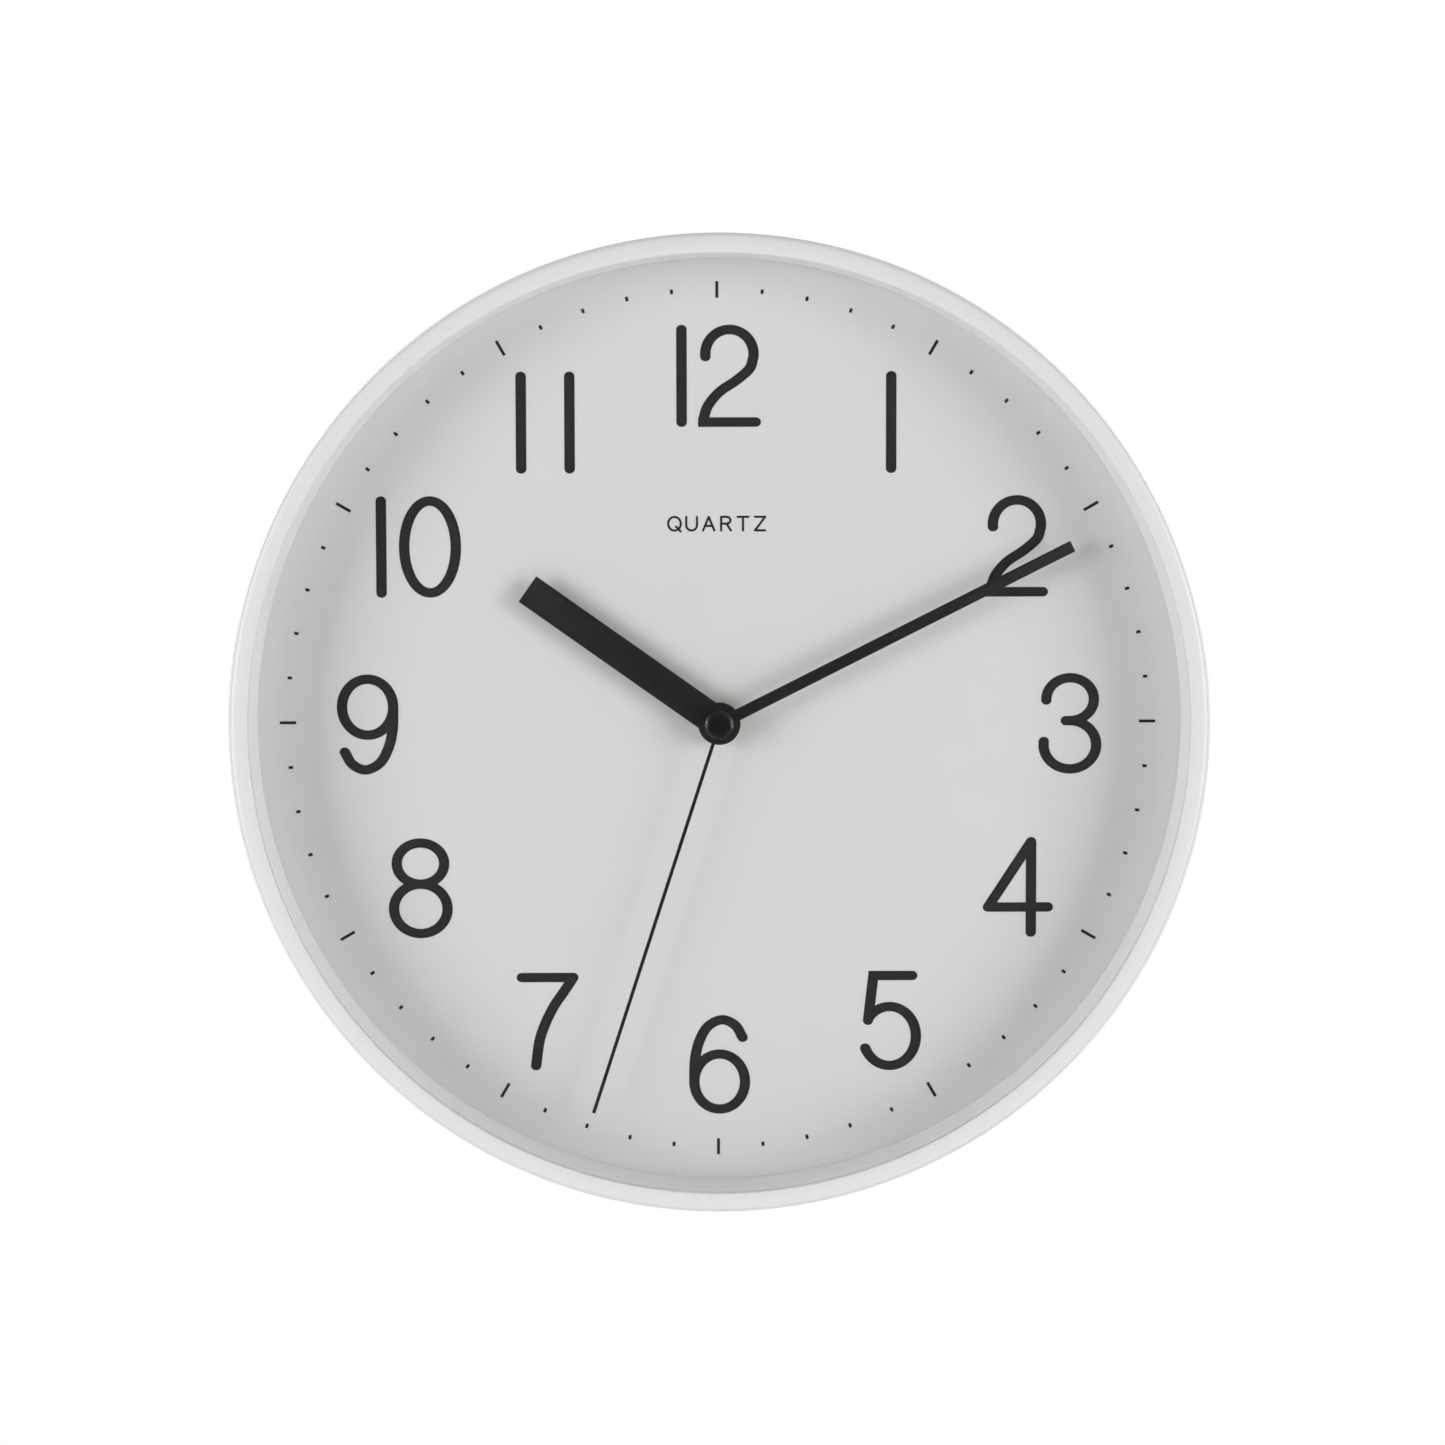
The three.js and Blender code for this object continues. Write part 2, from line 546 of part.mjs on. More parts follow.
function addMotorAndBoard() {
  const statorBack = 6.2;
  const statorFront = 7;
  const coilY = 22;
  const coilZ = (statorBack + statorFront) / 2;
  const coilLeft = ROTOR_AT.x - 7;
  const coilRight = ROTOR_AT.x + 7;
  const arm = 3;
  const collar = 5;
  const stator = cut(
    join(
      rod(collar, statorBack, statorFront, ROTOR_AT.x, ROTOR_AT.y, 24),
      block(coilLeft - arm, coilRight + arm, ROTOR_AT.y - 2, ROTOR_AT.y + 2, statorBack, statorFront),
      block(coilLeft - arm, coilLeft - 0.3, ROTOR_AT.y - 2, coilY + 2, statorBack, statorFront),
      block(coilRight + 0.3, coilRight + arm, ROTOR_AT.y - 2, coilY + 2, statorBack, statorFront),
    ),
    rod(3, 0, CASE_DEPTH, ROTOR_AT.x, ROTOR_AT.y, 24),
  );
  addPart("stator", stator, STEEL);

  // a rod that lies along X between two places
  const lying = (radius, left, right, y, z, segments) => {
    const geometry = new THREE.CylinderGeometry(radius, radius, right - left, segments);
    return solid(geometry.rotateZ(Math.PI / 2).translate((left + right) / 2, y, z));
  };
  const flange = 0.7;
  const core = 1.1;
  const bobbin = join(
    lying(core, coilLeft, coilRight, coilY, coilZ, 12),
    lying(2.9, coilLeft, coilLeft + flange, coilY, coilZ, 20),
    lying(2.9, coilRight - flange, coilRight, coilY, coilZ, 20),
  );
  addPart("coil_bobbin", bobbin, GEAR_WHITE);
  const windingLeft = coilLeft + flange + GAP;
  const windingRight = coilRight - flange - GAP;
  const winding = cut(
    lying(2.6, windingLeft, windingRight, coilY, coilZ, 20),
    lying(core + GAP, windingLeft - 1, windingRight + 1, coilY, coilZ, 12),
  );
  addPart("coil_winding", winding, COPPER);

  const board = { left: 1, right: 21.5, bottom: 16, top: 26.2, back: 3.9, front: 4.7 };
  addPart("circuit_board", block(board.left, board.right, board.bottom, board.top, board.back, board.front), BOARD_GREEN);
  const chipX = 7;
  const chipY = 21;
  const dome = turned([[0, 0], [2.4, 0], [2.1, 0.6], [1.2, 1], [0, 1.1]], 16);
  addPart("chip_cover", dome.translate([chipX, chipY, board.front + GAP]), CASE_BLACK);
  addPart("quartz_crystal", lying(1, 12, 18, 21, board.front + GAP + 1, 14), STEEL);
}

function addBattery() {
  const y = BAY_TOP - 0.3 - BATTERY.radius;
  const z = FRONT_WALL_BACK - GAP - BATTERY.radius;
  const left = -BATTERY.length / 2;
  const right = BATTERY.length / 2;
  const profile = [
    [0, left],
    [BATTERY.radius - 0.5, left],
    [BATTERY.radius, left + 0.5],
    [BATTERY.radius, right - 0.5],
    [BATTERY.radius - 0.5, right],
    [BATTERY.nubRadius, right],
    [BATTERY.nubRadius, right + BATTERY.nub],
    [0, right + BATTERY.nub],
  ].map(([r, x]) => new THREE.Vector2(r, x));
  const cell = new THREE.LatheGeometry(profile, 24).rotateZ(-Math.PI / 2);
  addPart("aa_battery", solid(cell.translate(-0.3, y, z)), CELL_BLUE);

  const strip = 0.4;
  const low = y - 4.5;
  const high = y + 4.5;
  const contactBack = z - 5;
  const contactFront = z + 5;
  const plusLeft = INSIDE - GAP - strip;
  addPart("positive_contact", block(plusLeft, plusLeft + strip, low, high, contactBack, contactFront), STEEL);
  const springWide = 3.6;
  const springTall = 1.1;
  const minusRight = -INSIDE + GAP + strip;
  const cone = new THREE.CylinderGeometry(1.8, springWide, springTall, 16).rotateZ(-Math.PI / 2);
  const spring = solid(cone.translate(minusRight + springTall / 2 - 0.05, y, z));
  const minus = block(-INSIDE + GAP, minusRight, low, high, contactBack, contactFront);
  addPart("negative_contact", join(minus, spring), STEEL);
}

function addFastening() {
  const nutFlats = 5.5;
  const nutBack = DIAL_FRONT + 0.4;
  const hex = rod(nutFlats / Math.cos(Math.PI / 6), nutBack, nutBack + 1.8, 0, 0, 6);
  addPart("centre_nut", cut(hex, rod(BUSH.outer + 0.2, 0, CASE_DEPTH, 0, 0, 24)), BRASS);
  addPart("dial_washer", ring(BUSH.outer + 0.2, 6.2, DIAL_FRONT + GAP, nutBack - GAP, 24), BRASS);
  addPart("rubber_washer", ring(BUSH.outer + 0.2, 8.5, MOVEMENT_FRONT + GAP, PLATE_BACK - GAP, 24), RUBBER_BLACK);
}

// ---- Hands ----

// A straight hand that points to 12, with a round boss on the axis, then turned to its time.
function handBody({ length, width, thickness, back, boss }, hole, bossSegments) {
  const bar = block(-width / 2, width / 2, 0, length, back, back + thickness);
  const disc = rod(boss, back, back + thickness, 0, 0, bossSegments);
  return cut(join(bar, disc), rod(hole, 0, CASE_DEPTH, 0, 0, 16));
}

function turnedTo(body, degreesClockwise) {
  return body.rotate([0, 0, -degreesClockwise]);
}

const MINUTES = MINUTE + SECOND / 60;
const HOUR_ANGLE = (HOUR + MINUTES / 60) * 30;
const MINUTE_ANGLE = MINUTES * 6;
const SECOND_ANGLE = SECOND * 6;

function addHands() {
  const hourHole = HOUR_TUBE.outer + GAP;
  const hourCollet = ring(hourHole, 3.9, BUSH.top + 0.3, HOUR_HAND.back + 0.1, 24);
  const hour = join(handBody(HOUR_HAND, hourHole, 32), hourCollet);
  addPart("hour_hand", turnedTo(hour, HOUR_ANGLE), HAND_BLACK);

  const minuteHole = CANNON_TUBE.outer + GAP;
  const minuteCollet = ring(minuteHole, 2.6, HOUR_TUBE.top + 0.2, MINUTE_HAND.back + 0.1, 24);
  const minute = join(handBody(MINUTE_HAND, minuteHole, 24), minuteCollet);
  addPart("minute_hand", turnedTo(minute, MINUTE_ANGLE), HAND_BLACK);

  const stem = 1.25;
  const second = handBody(SECOND_HAND, stem + GAP, 20);
  addPart("second_hand", turnedTo(second, SECOND_ANGLE), HAND_BLACK);
  const capBack = SECOND_HAND.back + SECOND_HAND.thickness + GAP;
  const capRound = 0.4;
  const bore = SECOND_ARBOR.outer + GAP;
  const cap = turned([
    [bore, CANNON_TUBE.top + 0.2],
    [stem, CANNON_TUBE.top + 0.2],
    [stem, capBack],
    [CAP_RADIUS, capBack],
    [CAP_RADIUS, CAP_TOP - capRound],
    [CAP_RADIUS - capRound, CAP_TOP],
    [0, CAP_TOP],
    [0, SECOND_ARBOR.top + 0.2],
    [bore, SECOND_ARBOR.top + 0.2],
  ], 24);
  addPart("second_hand_cap", cap, HAND_BLACK);
}

addRim();
addGlass();
addSpacer();
addDial();
addBackPlate();
addCaseScrews();
addTrain();
addSettingKnob();
addMovementCases();
addMotorAndBoard();
addBattery();
addFastening();
addHands();

const root = new THREE.Group();
root.name = "wall_clock";
root.add(clock);

export default root;
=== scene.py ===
"""Looks of a round white wall clock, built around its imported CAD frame.

Places are in the row frame: +X to the dial's 3, +Z to its 12, and the dial faces -Y. Shapes are worked
out in a flat drawing frame in millimetres, (x right, y up, z from the wall to the viewer), and turned
into the row frame in metres when they become meshes.
"""

import json
import logging
import math
from dataclasses import dataclass, field
from enum import Enum

import bpy
import numpy as np
from mathutils import Matrix, Vector


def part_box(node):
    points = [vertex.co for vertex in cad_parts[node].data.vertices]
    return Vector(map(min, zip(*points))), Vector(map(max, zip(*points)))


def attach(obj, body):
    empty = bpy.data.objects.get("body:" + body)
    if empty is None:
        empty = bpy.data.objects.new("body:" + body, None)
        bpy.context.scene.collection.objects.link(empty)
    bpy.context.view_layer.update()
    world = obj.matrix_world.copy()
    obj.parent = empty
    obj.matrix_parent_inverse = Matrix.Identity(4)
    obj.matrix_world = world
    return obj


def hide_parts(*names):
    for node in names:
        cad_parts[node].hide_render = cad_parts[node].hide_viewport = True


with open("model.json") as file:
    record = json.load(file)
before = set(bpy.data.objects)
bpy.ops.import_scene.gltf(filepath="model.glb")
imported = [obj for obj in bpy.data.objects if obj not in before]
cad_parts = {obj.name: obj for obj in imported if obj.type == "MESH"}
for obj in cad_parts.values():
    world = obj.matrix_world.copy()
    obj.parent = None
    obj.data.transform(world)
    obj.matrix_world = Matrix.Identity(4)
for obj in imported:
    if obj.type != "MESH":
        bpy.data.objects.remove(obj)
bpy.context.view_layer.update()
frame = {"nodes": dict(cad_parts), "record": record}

LOG = logging.getLogger("wall_clock")
MM = 0.001
TAU = 2.0 * math.pi

Array = np.ndarray
Colour = tuple[float, float, float]


# ---- Measures read from the frame ----


@dataclass(frozen=True)
class NodeBox:
    """The extent of one CAD node in the drawing frame, in millimetres."""

    left: float
    right: float
    low: float
    high: float
    back: float
    front: float

    @classmethod
    def of(cls, node: str) -> "NodeBox":
        """Reads a node's box.

        Args:
            node: the CAD node's name.

        Returns:
            Its extent, with back and front measured from the wall plane.
        """
        lowest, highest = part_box(node)
        return cls(
            lowest[0] / MM, highest[0] / MM,
            lowest[2] / MM, highest[2] / MM,
            -highest[1] / MM, -lowest[1] / MM,
        )

    @property
    def radius(self) -> float:
        """Half the width, which is the radius of a round node."""
        return (self.right - self.left) / 2


# ---- Meshes ----


def to_row_frame(points: Array) -> Array:
    """Turns drawing-frame points into row-frame points: (x, y, z) becomes (x, -z, y), in metres.

    Args:
        points: an array whose last axis holds x, y and z in millimetres.

    Returns:
        The same array in metres in the row frame.
    """
    return np.stack([points[..., 0], -points[..., 2], points[..., 1]], axis=-1) * MM


def grid_quads(rows: int, columns: int, wrap_rows: bool, wrap_columns: bool) -> Array:
    """Joins neighbours of a grid of points, numbered row by row, into quads.

    Args:
        rows: how many rows of points there are.
        columns: how many points each row has.
        wrap_rows: whether the last row joins the first.
        wrap_columns: whether each row's last point joins its first.

    Returns:
        An array of point numbers, four for each quad.
    """
    r = np.arange(rows if wrap_rows else rows - 1)[:, None]
    c = np.arange(columns if wrap_columns else columns - 1)[None, :]
    below, beside = (r + 1) % rows, (c + 1) % columns
    quads = np.stack(
        [r * columns + c, r * columns + beside, below * columns + beside, below * columns + c], axis=-1
    )
    return quads.reshape(-1, 4)


def signed_volume(points: Array, faces: list[list[int]]) -> float:
    """Six times the volume inside a closed mesh, from a fan of each face: the sum of a . (b x c).

    Args:
        points: its points, one row each.
        faces: its faces, as lists of point numbers.

    Returns:
        The sum, which is negative where the faces point inwards.
    """
    total = 0.0
    by_size: dict[int, list[list[int]]] = {}
    for face in faces:
        by_size.setdefault(len(face), []).append(face)
    for size, group in by_size.items():
        corner = points[np.array(group)]
        for i in range(1, size - 1):
            cross = np.cross(corner[:, i], corner[:, i + 1])
            total += float((corner[:, 0] * cross).sum())
    return total


def make_mesh(
    name: str,
    points: Array,
    faces: list[list[int]],
    sharp_degrees: float = 35.0,
) -> bpy.types.Object:
    """Makes a closed, outward-facing, smooth-shaded object at the origin.

    Args:
        name: the object's name.
        points: drawing-frame points in millimetres, one row each.
        faces: lists of point numbers; all are turned round together if they face inwards.
        sharp_degrees: edges that bend more than this are drawn sharp.

    Returns:
        The new object.
    """
    placed = to_row_frame(points.reshape(-1, 3))
    if signed_volume(placed, faces) < 0:
        faces = [face[::-1] for face in faces]
    mesh = bpy.data.meshes.new(name)
    mesh.from_pydata(placed.tolist(), [], faces)
    mesh.validate()
    mesh.shade_smooth()
    mesh.set_sharp_from_angle(angle=math.radians(sharp_degrees))
    piece = bpy.data.objects.new(name, mesh)
    bpy.context.scene.collection.objects.link(piece)
    return piece


@dataclass
class Shell:
    """Points and faces of one or more closed shells that will become one piece."""

    points: list[Array] = field(default_factory=list)
    faces: list[list[int]] = field(default_factory=list)
    count: int = 0

    def add(self, points: Array, faces: list[list[int]]) -> None:
        """Adds one closed shell, turned to face outwards.

        Args:
            points: its points.
            faces: its faces, numbered from 0 within the shell.
        """
        flat = points.reshape(-1, 3)
        if signed_volume(flat, faces) < 0:
            faces = [face[::-1] for face in faces]
        self.points.append(flat)
        self.faces += [[i + self.count for i in face] for face in faces]
        self.count += len(flat)

    def piece(self, name: str, sharp_degrees: float = 35.0) -> bpy.types.Object:
        """Makes the object that holds every shell."""
        return make_mesh(name, np.concatenate(self.points), self.faces, sharp_degrees)


def arc(
    centre: tuple[float, float],
    radii: tuple[float, float],
    start: float,
    end: float,
    steps: int,
) -> Array:
    """Points on an ellipse: centre + (rx cos a, ry sin a), with a from start to end in even steps.

    Args:
        centre: the ellipse's middle.
        radii: its half width and half height.
        start: first angle in degrees, 0 to the right and 90 up.
        end: last angle in degrees.
        steps: how many steps there are between them.

    Returns:
        steps + 1 points, one row each.
    """
    angle = np.radians(np.linspace(start, end, steps + 1))
    return np.stack([centre[0] + radii[0] * np.cos(angle), centre[1] + radii[1] * np.sin(angle)], axis=-1)


def smooth_path(points: list[tuple[float, float]], steps: int = 10) -> Array:
    """A Catmull-Rom curve through the points: a cubic between each pair whose slopes at a point follow
    the line between its two neighbours.

    Args:
        points: the points that the curve passes through.
        steps: how many pieces each stretch has.

    Returns:
        The curve's points, one row each.
    """
    given = np.array(points, float)
    padded = np.vstack([2 * given[0] - given[1], given, 2 * given[-1] - given[-2]])
    t = np.linspace(0, 1, steps, endpoint=False)[:, None]
    stretches = [
        0.5 * (2 * b + (c - a) * t + (2 * a - 5 * b + 4 * c - d) * t**2 + (3 * b - a - 3 * c + d) * t**3)
        for a, b, c, d in zip(padded[:-3], padded[1:-2], padded[2:-1], padded[3:])
    ]
    return np.vstack([*stretches, given[-1:]])


def turned_shell(profile: Array, columns: int = 180) -> tuple[Array, list[list[int]]]:
    """A solid of revolution about the hands' axis: (r, z) at angle a stands at (r cos a, r sin a, z).

    Args:
        profile: [radius, z] rows, closing on themselves.
        columns: how many steps the turn has.

    Returns:
        The shell's points and faces.
    """
    angle = np.linspace(0, TAU, columns, endpoint=False)[None, :]
    radius, height = profile[:, 0:1], profile[:, 1:2]
    level = np.broadcast_to(height, (len(profile), columns))
    points = np.stack([radius * np.cos(angle), radius * np.sin(angle), level], axis=-1)
    return points, grid_quads(len(profile), columns, True, True).tolist()


def turned_solid(profile: Array, columns: int = 180) -> tuple[Array, list[list[int]]]:
    """A solid of revolution like turned_shell, from an open profile: flat faces close both its ends.

    Args:
        profile: [radius, z] rows; the first and last radius are small but not nothing.
        columns: how many steps the turn has.

    Returns:
        The solid's points and faces.
    """
    points, _ = turned_shell(profile, columns)
    faces = grid_quads(len(profile), columns, False, True).tolist()
    last = (len(profile) - 1) * columns
    faces += [list(range(columns))[::-1], list(range(last, last + columns))]
    return points, faces


def lofted(rings: Array, closed: bool = False) -> tuple[Array, list[list[int]]]:
    """Joins rings of points into a tube.

    Args:
        rings: an array of [ring, point, 3].
        closed: whether the last ring joins the first; otherwise flat faces close the two ends.

    Returns:
        The tube's points and faces.
    """
    count, around = rings.shape[:2]
    faces = grid_quads(count, around, closed, True).tolist()
    if not closed:
        last = (count - 1) * around
        faces += [list(range(around))[::-1], list(range(last, last + around))]
    return rings, faces


def rounded_profile(corners: list[tuple[float, float, float]], steps: int = 5) -> Array:
    """A closed outline whose corners are rounded: each corner is swapped for the quadratic curve that
    starts and ends its rounding length away along the two sides.

    Args:
        corners: (x, y, rounding length) in order round the outline.
        steps: how many steps each rounded corner has.

    Returns:
        The outline's points, one row each.
    """
    spots = np.array([c[:2] for c in corners], float)
    rows = []
    for i, (x, y, size) in enumerate(corners):
        here = spots[i]
        if size <= 0:
            rows.append(here[None, :])
            continue
        before, after = spots[i - 1] - here, spots[(i + 1) % len(corners)] - here
        start = here + before / np.linalg.norm(before) * size
        end = here + after / np.linalg.norm(after) * size
        t = np.linspace(0, 1, steps + 1)[:, None]
        rows.append((1 - t) ** 2 * start + 2 * t * (1 - t) * here + t**2 * end)
    return np.vstack(rows)


class End(Enum):
    """How a printed stroke ends."""

    ROUND = "round"
    FLAT = "flat"


@dataclass(frozen=True)
class Stroke:
    """One stroke of a printed character: a centre line that a pen follows."""

    path: Array
    start: End = End.ROUND
    end: End = End.ROUND
    closed: bool = False

    @classmethod
    def line(cls, *points: tuple[float, float]) -> "Stroke":
        """Straight lines from point to point, with round ends."""
        return cls(np.array(points, float))

    @classmethod
    def ring(cls, across: float, tall: float, steps: int) -> "Stroke":
        """A closed ellipse about the character's middle, from its half width and half height."""
        return cls(arc((0, 0), (across, tall), 0, 360, steps)[:-1], closed=True)


@dataclass(frozen=True)
class Pen:
    """Lays strokes down as thin closed films of ink."""

    half_width: float
    back: float
    front: float
    stretch: float = 1.0

    def lay(self, shell: Shell, stroke: Stroke, place: tuple[float, float]) -> None:
        """Adds one stroke. The film's two edges are the centre line plus and minus the half width along
        its normal; at a round end the half width falls as a half circle.

        Args:
            shell: the piece that the film joins.
            stroke: the stroke, in character units of which x is stretched.
            place: where the character's middle goes.
        """
        path = stroke.path / np.array([self.stretch, 1.0])
        if stroke.closed:
            along = np.roll(path, -1, 0) - np.roll(path, 1, 0)
        else:
            along = np.gradient(path, axis=0)
        along = along / np.linalg.norm(along, axis=1, keepdims=True)
        width = np.full(len(path), self.half_width)
        if not stroke.closed:
            path, along, width = self._capped(path, along, width, stroke)
        normal = np.stack([-along[:, 1], along[:, 0]], axis=-1) * width[:, None]
        rows = []
        for side, height in ((1, self.front), (-1, self.front), (-1, self.back), (1, self.back)):
            edge = (path + side * normal) * np.array([self.stretch, 1.0]) + np.array(place)
            rows.append(np.column_stack([edge, np.full(len(edge), height)]))
        shell.add(*lofted(np.stack(rows, axis=1), stroke.closed))

    def _capped(
        self,
        path: Array,
        along: Array,
        width: Array,
        stroke: Stroke,
    ) -> tuple[Array, Array, Array]:
        """Adds the half-circle columns of the round ends.

        Args:
            path: the centre line's points.
            along: its unit directions.
            width: its half widths.
            stroke: the stroke, which says how its ends are.

        Returns:
            The three arrays with the columns added.
        """
        angle = np.radians(np.linspace(12, 84, 7))
        reach, narrow = self.half_width * np.sin(angle), self.half_width * np.cos(angle)
        if stroke.start is End.ROUND:
            path = np.vstack([(path[0] - along[0] * reach[:, None])[::-1], path])
            along = np.vstack([np.repeat(along[:1], len(angle), 0), along])
            width = np.concatenate([narrow[::-1], width])
        if stroke.end is End.ROUND:
            path = np.vstack([path, path[-1] + along[-1] * reach[:, None]])
            along = np.vstack([along, np.repeat(along[-1:], len(angle), 0)])
            width = np.concatenate([width, narrow])
        return path, along, width


# ---- Shader graphs ----


class Signal:
    """One output socket of a shader graph, with the arithmetic that adds Math nodes."""

    def __init__(self, graph: "Graph", socket: bpy.types.NodeSocket) -> None:
        """Keeps the graph and the socket."""
        self.graph = graph
        self.socket = socket

    def _math(self, operation: str, first: "Signal | float", second: "Signal | float") -> "Signal":
        """Adds a Math node and returns its output."""
        return self.graph.node("ShaderNodeMath", {"operation": operation}, {0: first, 1: second})[0]

    def __add__(self, other: "Signal | float") -> "Signal":
        """self + other."""
        return self._math("ADD", self, other)

    __radd__ = __add__

    def __sub__(self, other: "Signal | float") -> "Signal":
        """self - other."""
        return self._math("SUBTRACT", self, other)

    def __rsub__(self, other: "Signal | float") -> "Signal":
        """other - self."""
        return self._math("SUBTRACT", other, self)

    def __mul__(self, other: "Signal | float") -> "Signal":
        """self * other."""
        return self._math("MULTIPLY", self, other)

    __rmul__ = __mul__


class Outputs:
    """A node whose outputs are read by number or name as signals."""

    def __init__(self, graph: "Graph", node: bpy.types.Node) -> None:
        """Keeps the graph and the node."""
        self.graph = graph
        self.node = node

    def __getitem__(self, key: int | str) -> Signal:
        """The output of that number or name."""
        return Signal(self.graph, self.node.outputs[key])


class Graph:
    """A material's node tree, built node by node."""

    def __init__(self, name: str) -> None:
        """Makes an empty material with an output and the object's own coordinates.

        Args:
            name: the material's name.
        """
        self.material = bpy.data.materials.new(name)
        self.material.use_nodes = True
        self.tree = self.material.node_tree
        self.tree.nodes.clear()
        self.output = self.tree.nodes.new("ShaderNodeOutputMaterial")
        self.place = self.node("ShaderNodeTexCoord", {}, {})["Object"]

    def node(self, kind: str, settings: dict[str, object], inputs: dict[int | str, object]) -> Outputs:
        """Adds a node.

        Args:
            kind: the node's type.
            settings: its properties; "stops" gives a ramp's (position, grey) pairs.
            inputs: socket number or name to a signal, or to a plain value that is set on the socket.

        Returns:
            The node's outputs.
        """
        node = self.tree.nodes.new(kind)
        for key, value in settings.items():
            if key == "stops":
                elements = node.color_ramp.elements
                for i, (position, grey) in enumerate(value):
                    element = elements[i] if i < 2 else elements.new(position)
                    element.position = position
                    element.color = (grey, grey, grey, 1.0)
            else:
                setattr(node, key, value)
        for key, value in inputs.items():
            if isinstance(value, Signal):
                self.tree.links.new(value.socket, node.inputs[key])
            elif isinstance(value, tuple) and len(value) == 3 and node.inputs[key].type == "RGBA":
                node.inputs[key].default_value = (*value, 1.0)
            else:
                node.inputs[key].default_value = value
        return Outputs(self, node)

    def noise(self, size: float, detail: float = 2.0, stretch: Colour = (1.0, 1.0, 1.0)) -> Signal:
        """Soft noise from 0 to 1.

        Args:
            size: the size of its blotches in millimetres.
            detail: how many finer layers it has.
            stretch: how many times finer it is along X, Y and Z.

        Returns:
            The noise.
        """
        mapped = self.node("ShaderNodeMapping", {}, {"Vector": self.place, "Scale": stretch})[0]
        inputs = {"Vector": mapped, "Scale": 1.0 / (size * MM), "Detail": detail, "Roughness": 0.55}
        return self.node("ShaderNodeTexNoise", {}, inputs)["Fac"]

    def ramp(self, value: Signal, *stops: tuple[float, float]) -> Signal:
        """The value carried through a grey ramp with those (position, grey) stops."""
        return self.node("ShaderNodeValToRGB", {"stops": stops}, {"Fac": value})["Color"]

    def mix(self, share: Signal, first: "Signal | Colour", second: "Signal | Colour") -> Signal:
        """The first colour where the share is 0, the second where it is 1."""
        settings = {"data_type": "RGBA", "clamp_factor": True}
        return self.node("ShaderNodeMix", settings, {0: share, 6: first, 7: second})[2]

    def bump(self, height: Signal, depth: float) -> Signal:
        """A normal bent by a height from 0 to 1 whose full depth is given in millimetres."""
        inputs = {"Height": height, "Distance": depth * MM, "Strength": 1.0}
        return self.node("ShaderNodeBump", {}, inputs)["Normal"]

    def principled(self, inputs: dict[int | str, object]) -> Signal:
        """A Principled shader with those sockets."""
        return self.node("ShaderNodeBsdfPrincipled", {}, inputs)["BSDF"]

    def finish(self, shader: Signal) -> bpy.types.Material:
        """Joins the shader to the output and returns the material."""
        self.tree.links.new(shader.socket, self.output.inputs["Surface"])
        return self.material


def shade(colour: Colour, factor: float) -> Colour:
    """The colour with each part multiplied by the factor, kept at or under 1."""
    return tuple(min(1.0, c * factor) for c in colour)


@dataclass(frozen=True)
class Finish:
    """A surface finish that becomes one material."""

    name: str
    colour: Colour

    def material(self) -> bpy.types.Material:
        """Builds the material, which each kind of finish does in its own way."""
        raise NotImplementedError


@dataclass(frozen=True)
class MouldedPlastic(Finish):
    """Injection-moulded plastic: a slight mottle from the flow, spark texture or orange peel, and dust
    that dulls the shine in blotches."""

    roughness: float = 0.4
    grain_size: float = 0.5
    grain_depth: float = 0.01
    mottle: float = 0.03

    def material(self) -> bpy.types.Material:
        """Builds the material.

        Returns:
            The material.
        """
        g = Graph(self.name)
        flow = g.noise(34.0, 3.0)
        handled = g.noise(11.0, 4.0)
        colour = g.mix(flow, shade(self.colour, 1 - self.mottle), shade(self.colour, 1 + self.mottle))
        roughness = handled * 0.12 + (self.roughness - 0.06)
        inputs = {
            "Base Color": colour,
            "Roughness": roughness,
            "Normal": g.bump(g.noise(self.grain_size, 2.0), self.grain_depth),
            "IOR": 1.5,
        }
        return g.finish(g.principled(inputs))


@dataclass(frozen=True)
class PrintedSheet(Finish):
    """The dial: a matt white coat with a fine tooth and a barely visible mottle."""

    def material(self) -> bpy.types.Material:
        """Builds the material.

        Returns:
            The material.
        """
        g = Graph(self.name)
        cloud = g.noise(60.0, 3.0)
        tooth = g.noise(0.28, 3.0)
        colour = g.mix(cloud, shade(self.colour, 0.985), shade(self.colour, 1.01))
        inputs = {
            "Base Color": colour,
            "Roughness": tooth * 0.1 + 0.52,
            "Normal": g.bump(tooth, 0.006),
            "Specular IOR Level": 0.35,
        }
        return g.finish(g.principled(inputs))


@dataclass(frozen=True)
class Ink(Finish):
    """Screen-printed ink: near black, a little uneven in cover, with the mesh's faint pattern."""

    def material(self) -> bpy.types.Material:
        """Builds the material.

        Returns:
            The material.
        """
        g = Graph(self.name)
        cover = g.noise(2.4, 4.0)
        mesh = g.noise(0.12, 1.0)
        colour = g.mix(cover, shade(self.colour, 0.8), shade(self.colour, 1.35))
        inputs = {
            "Base Color": colour,
            "Roughness": cover * 0.14 + 0.46,
            "Normal": g.bump(mesh, 0.004),
            "Specular IOR Level": 0.35,
        }
        return g.finish(g.principled(inputs))


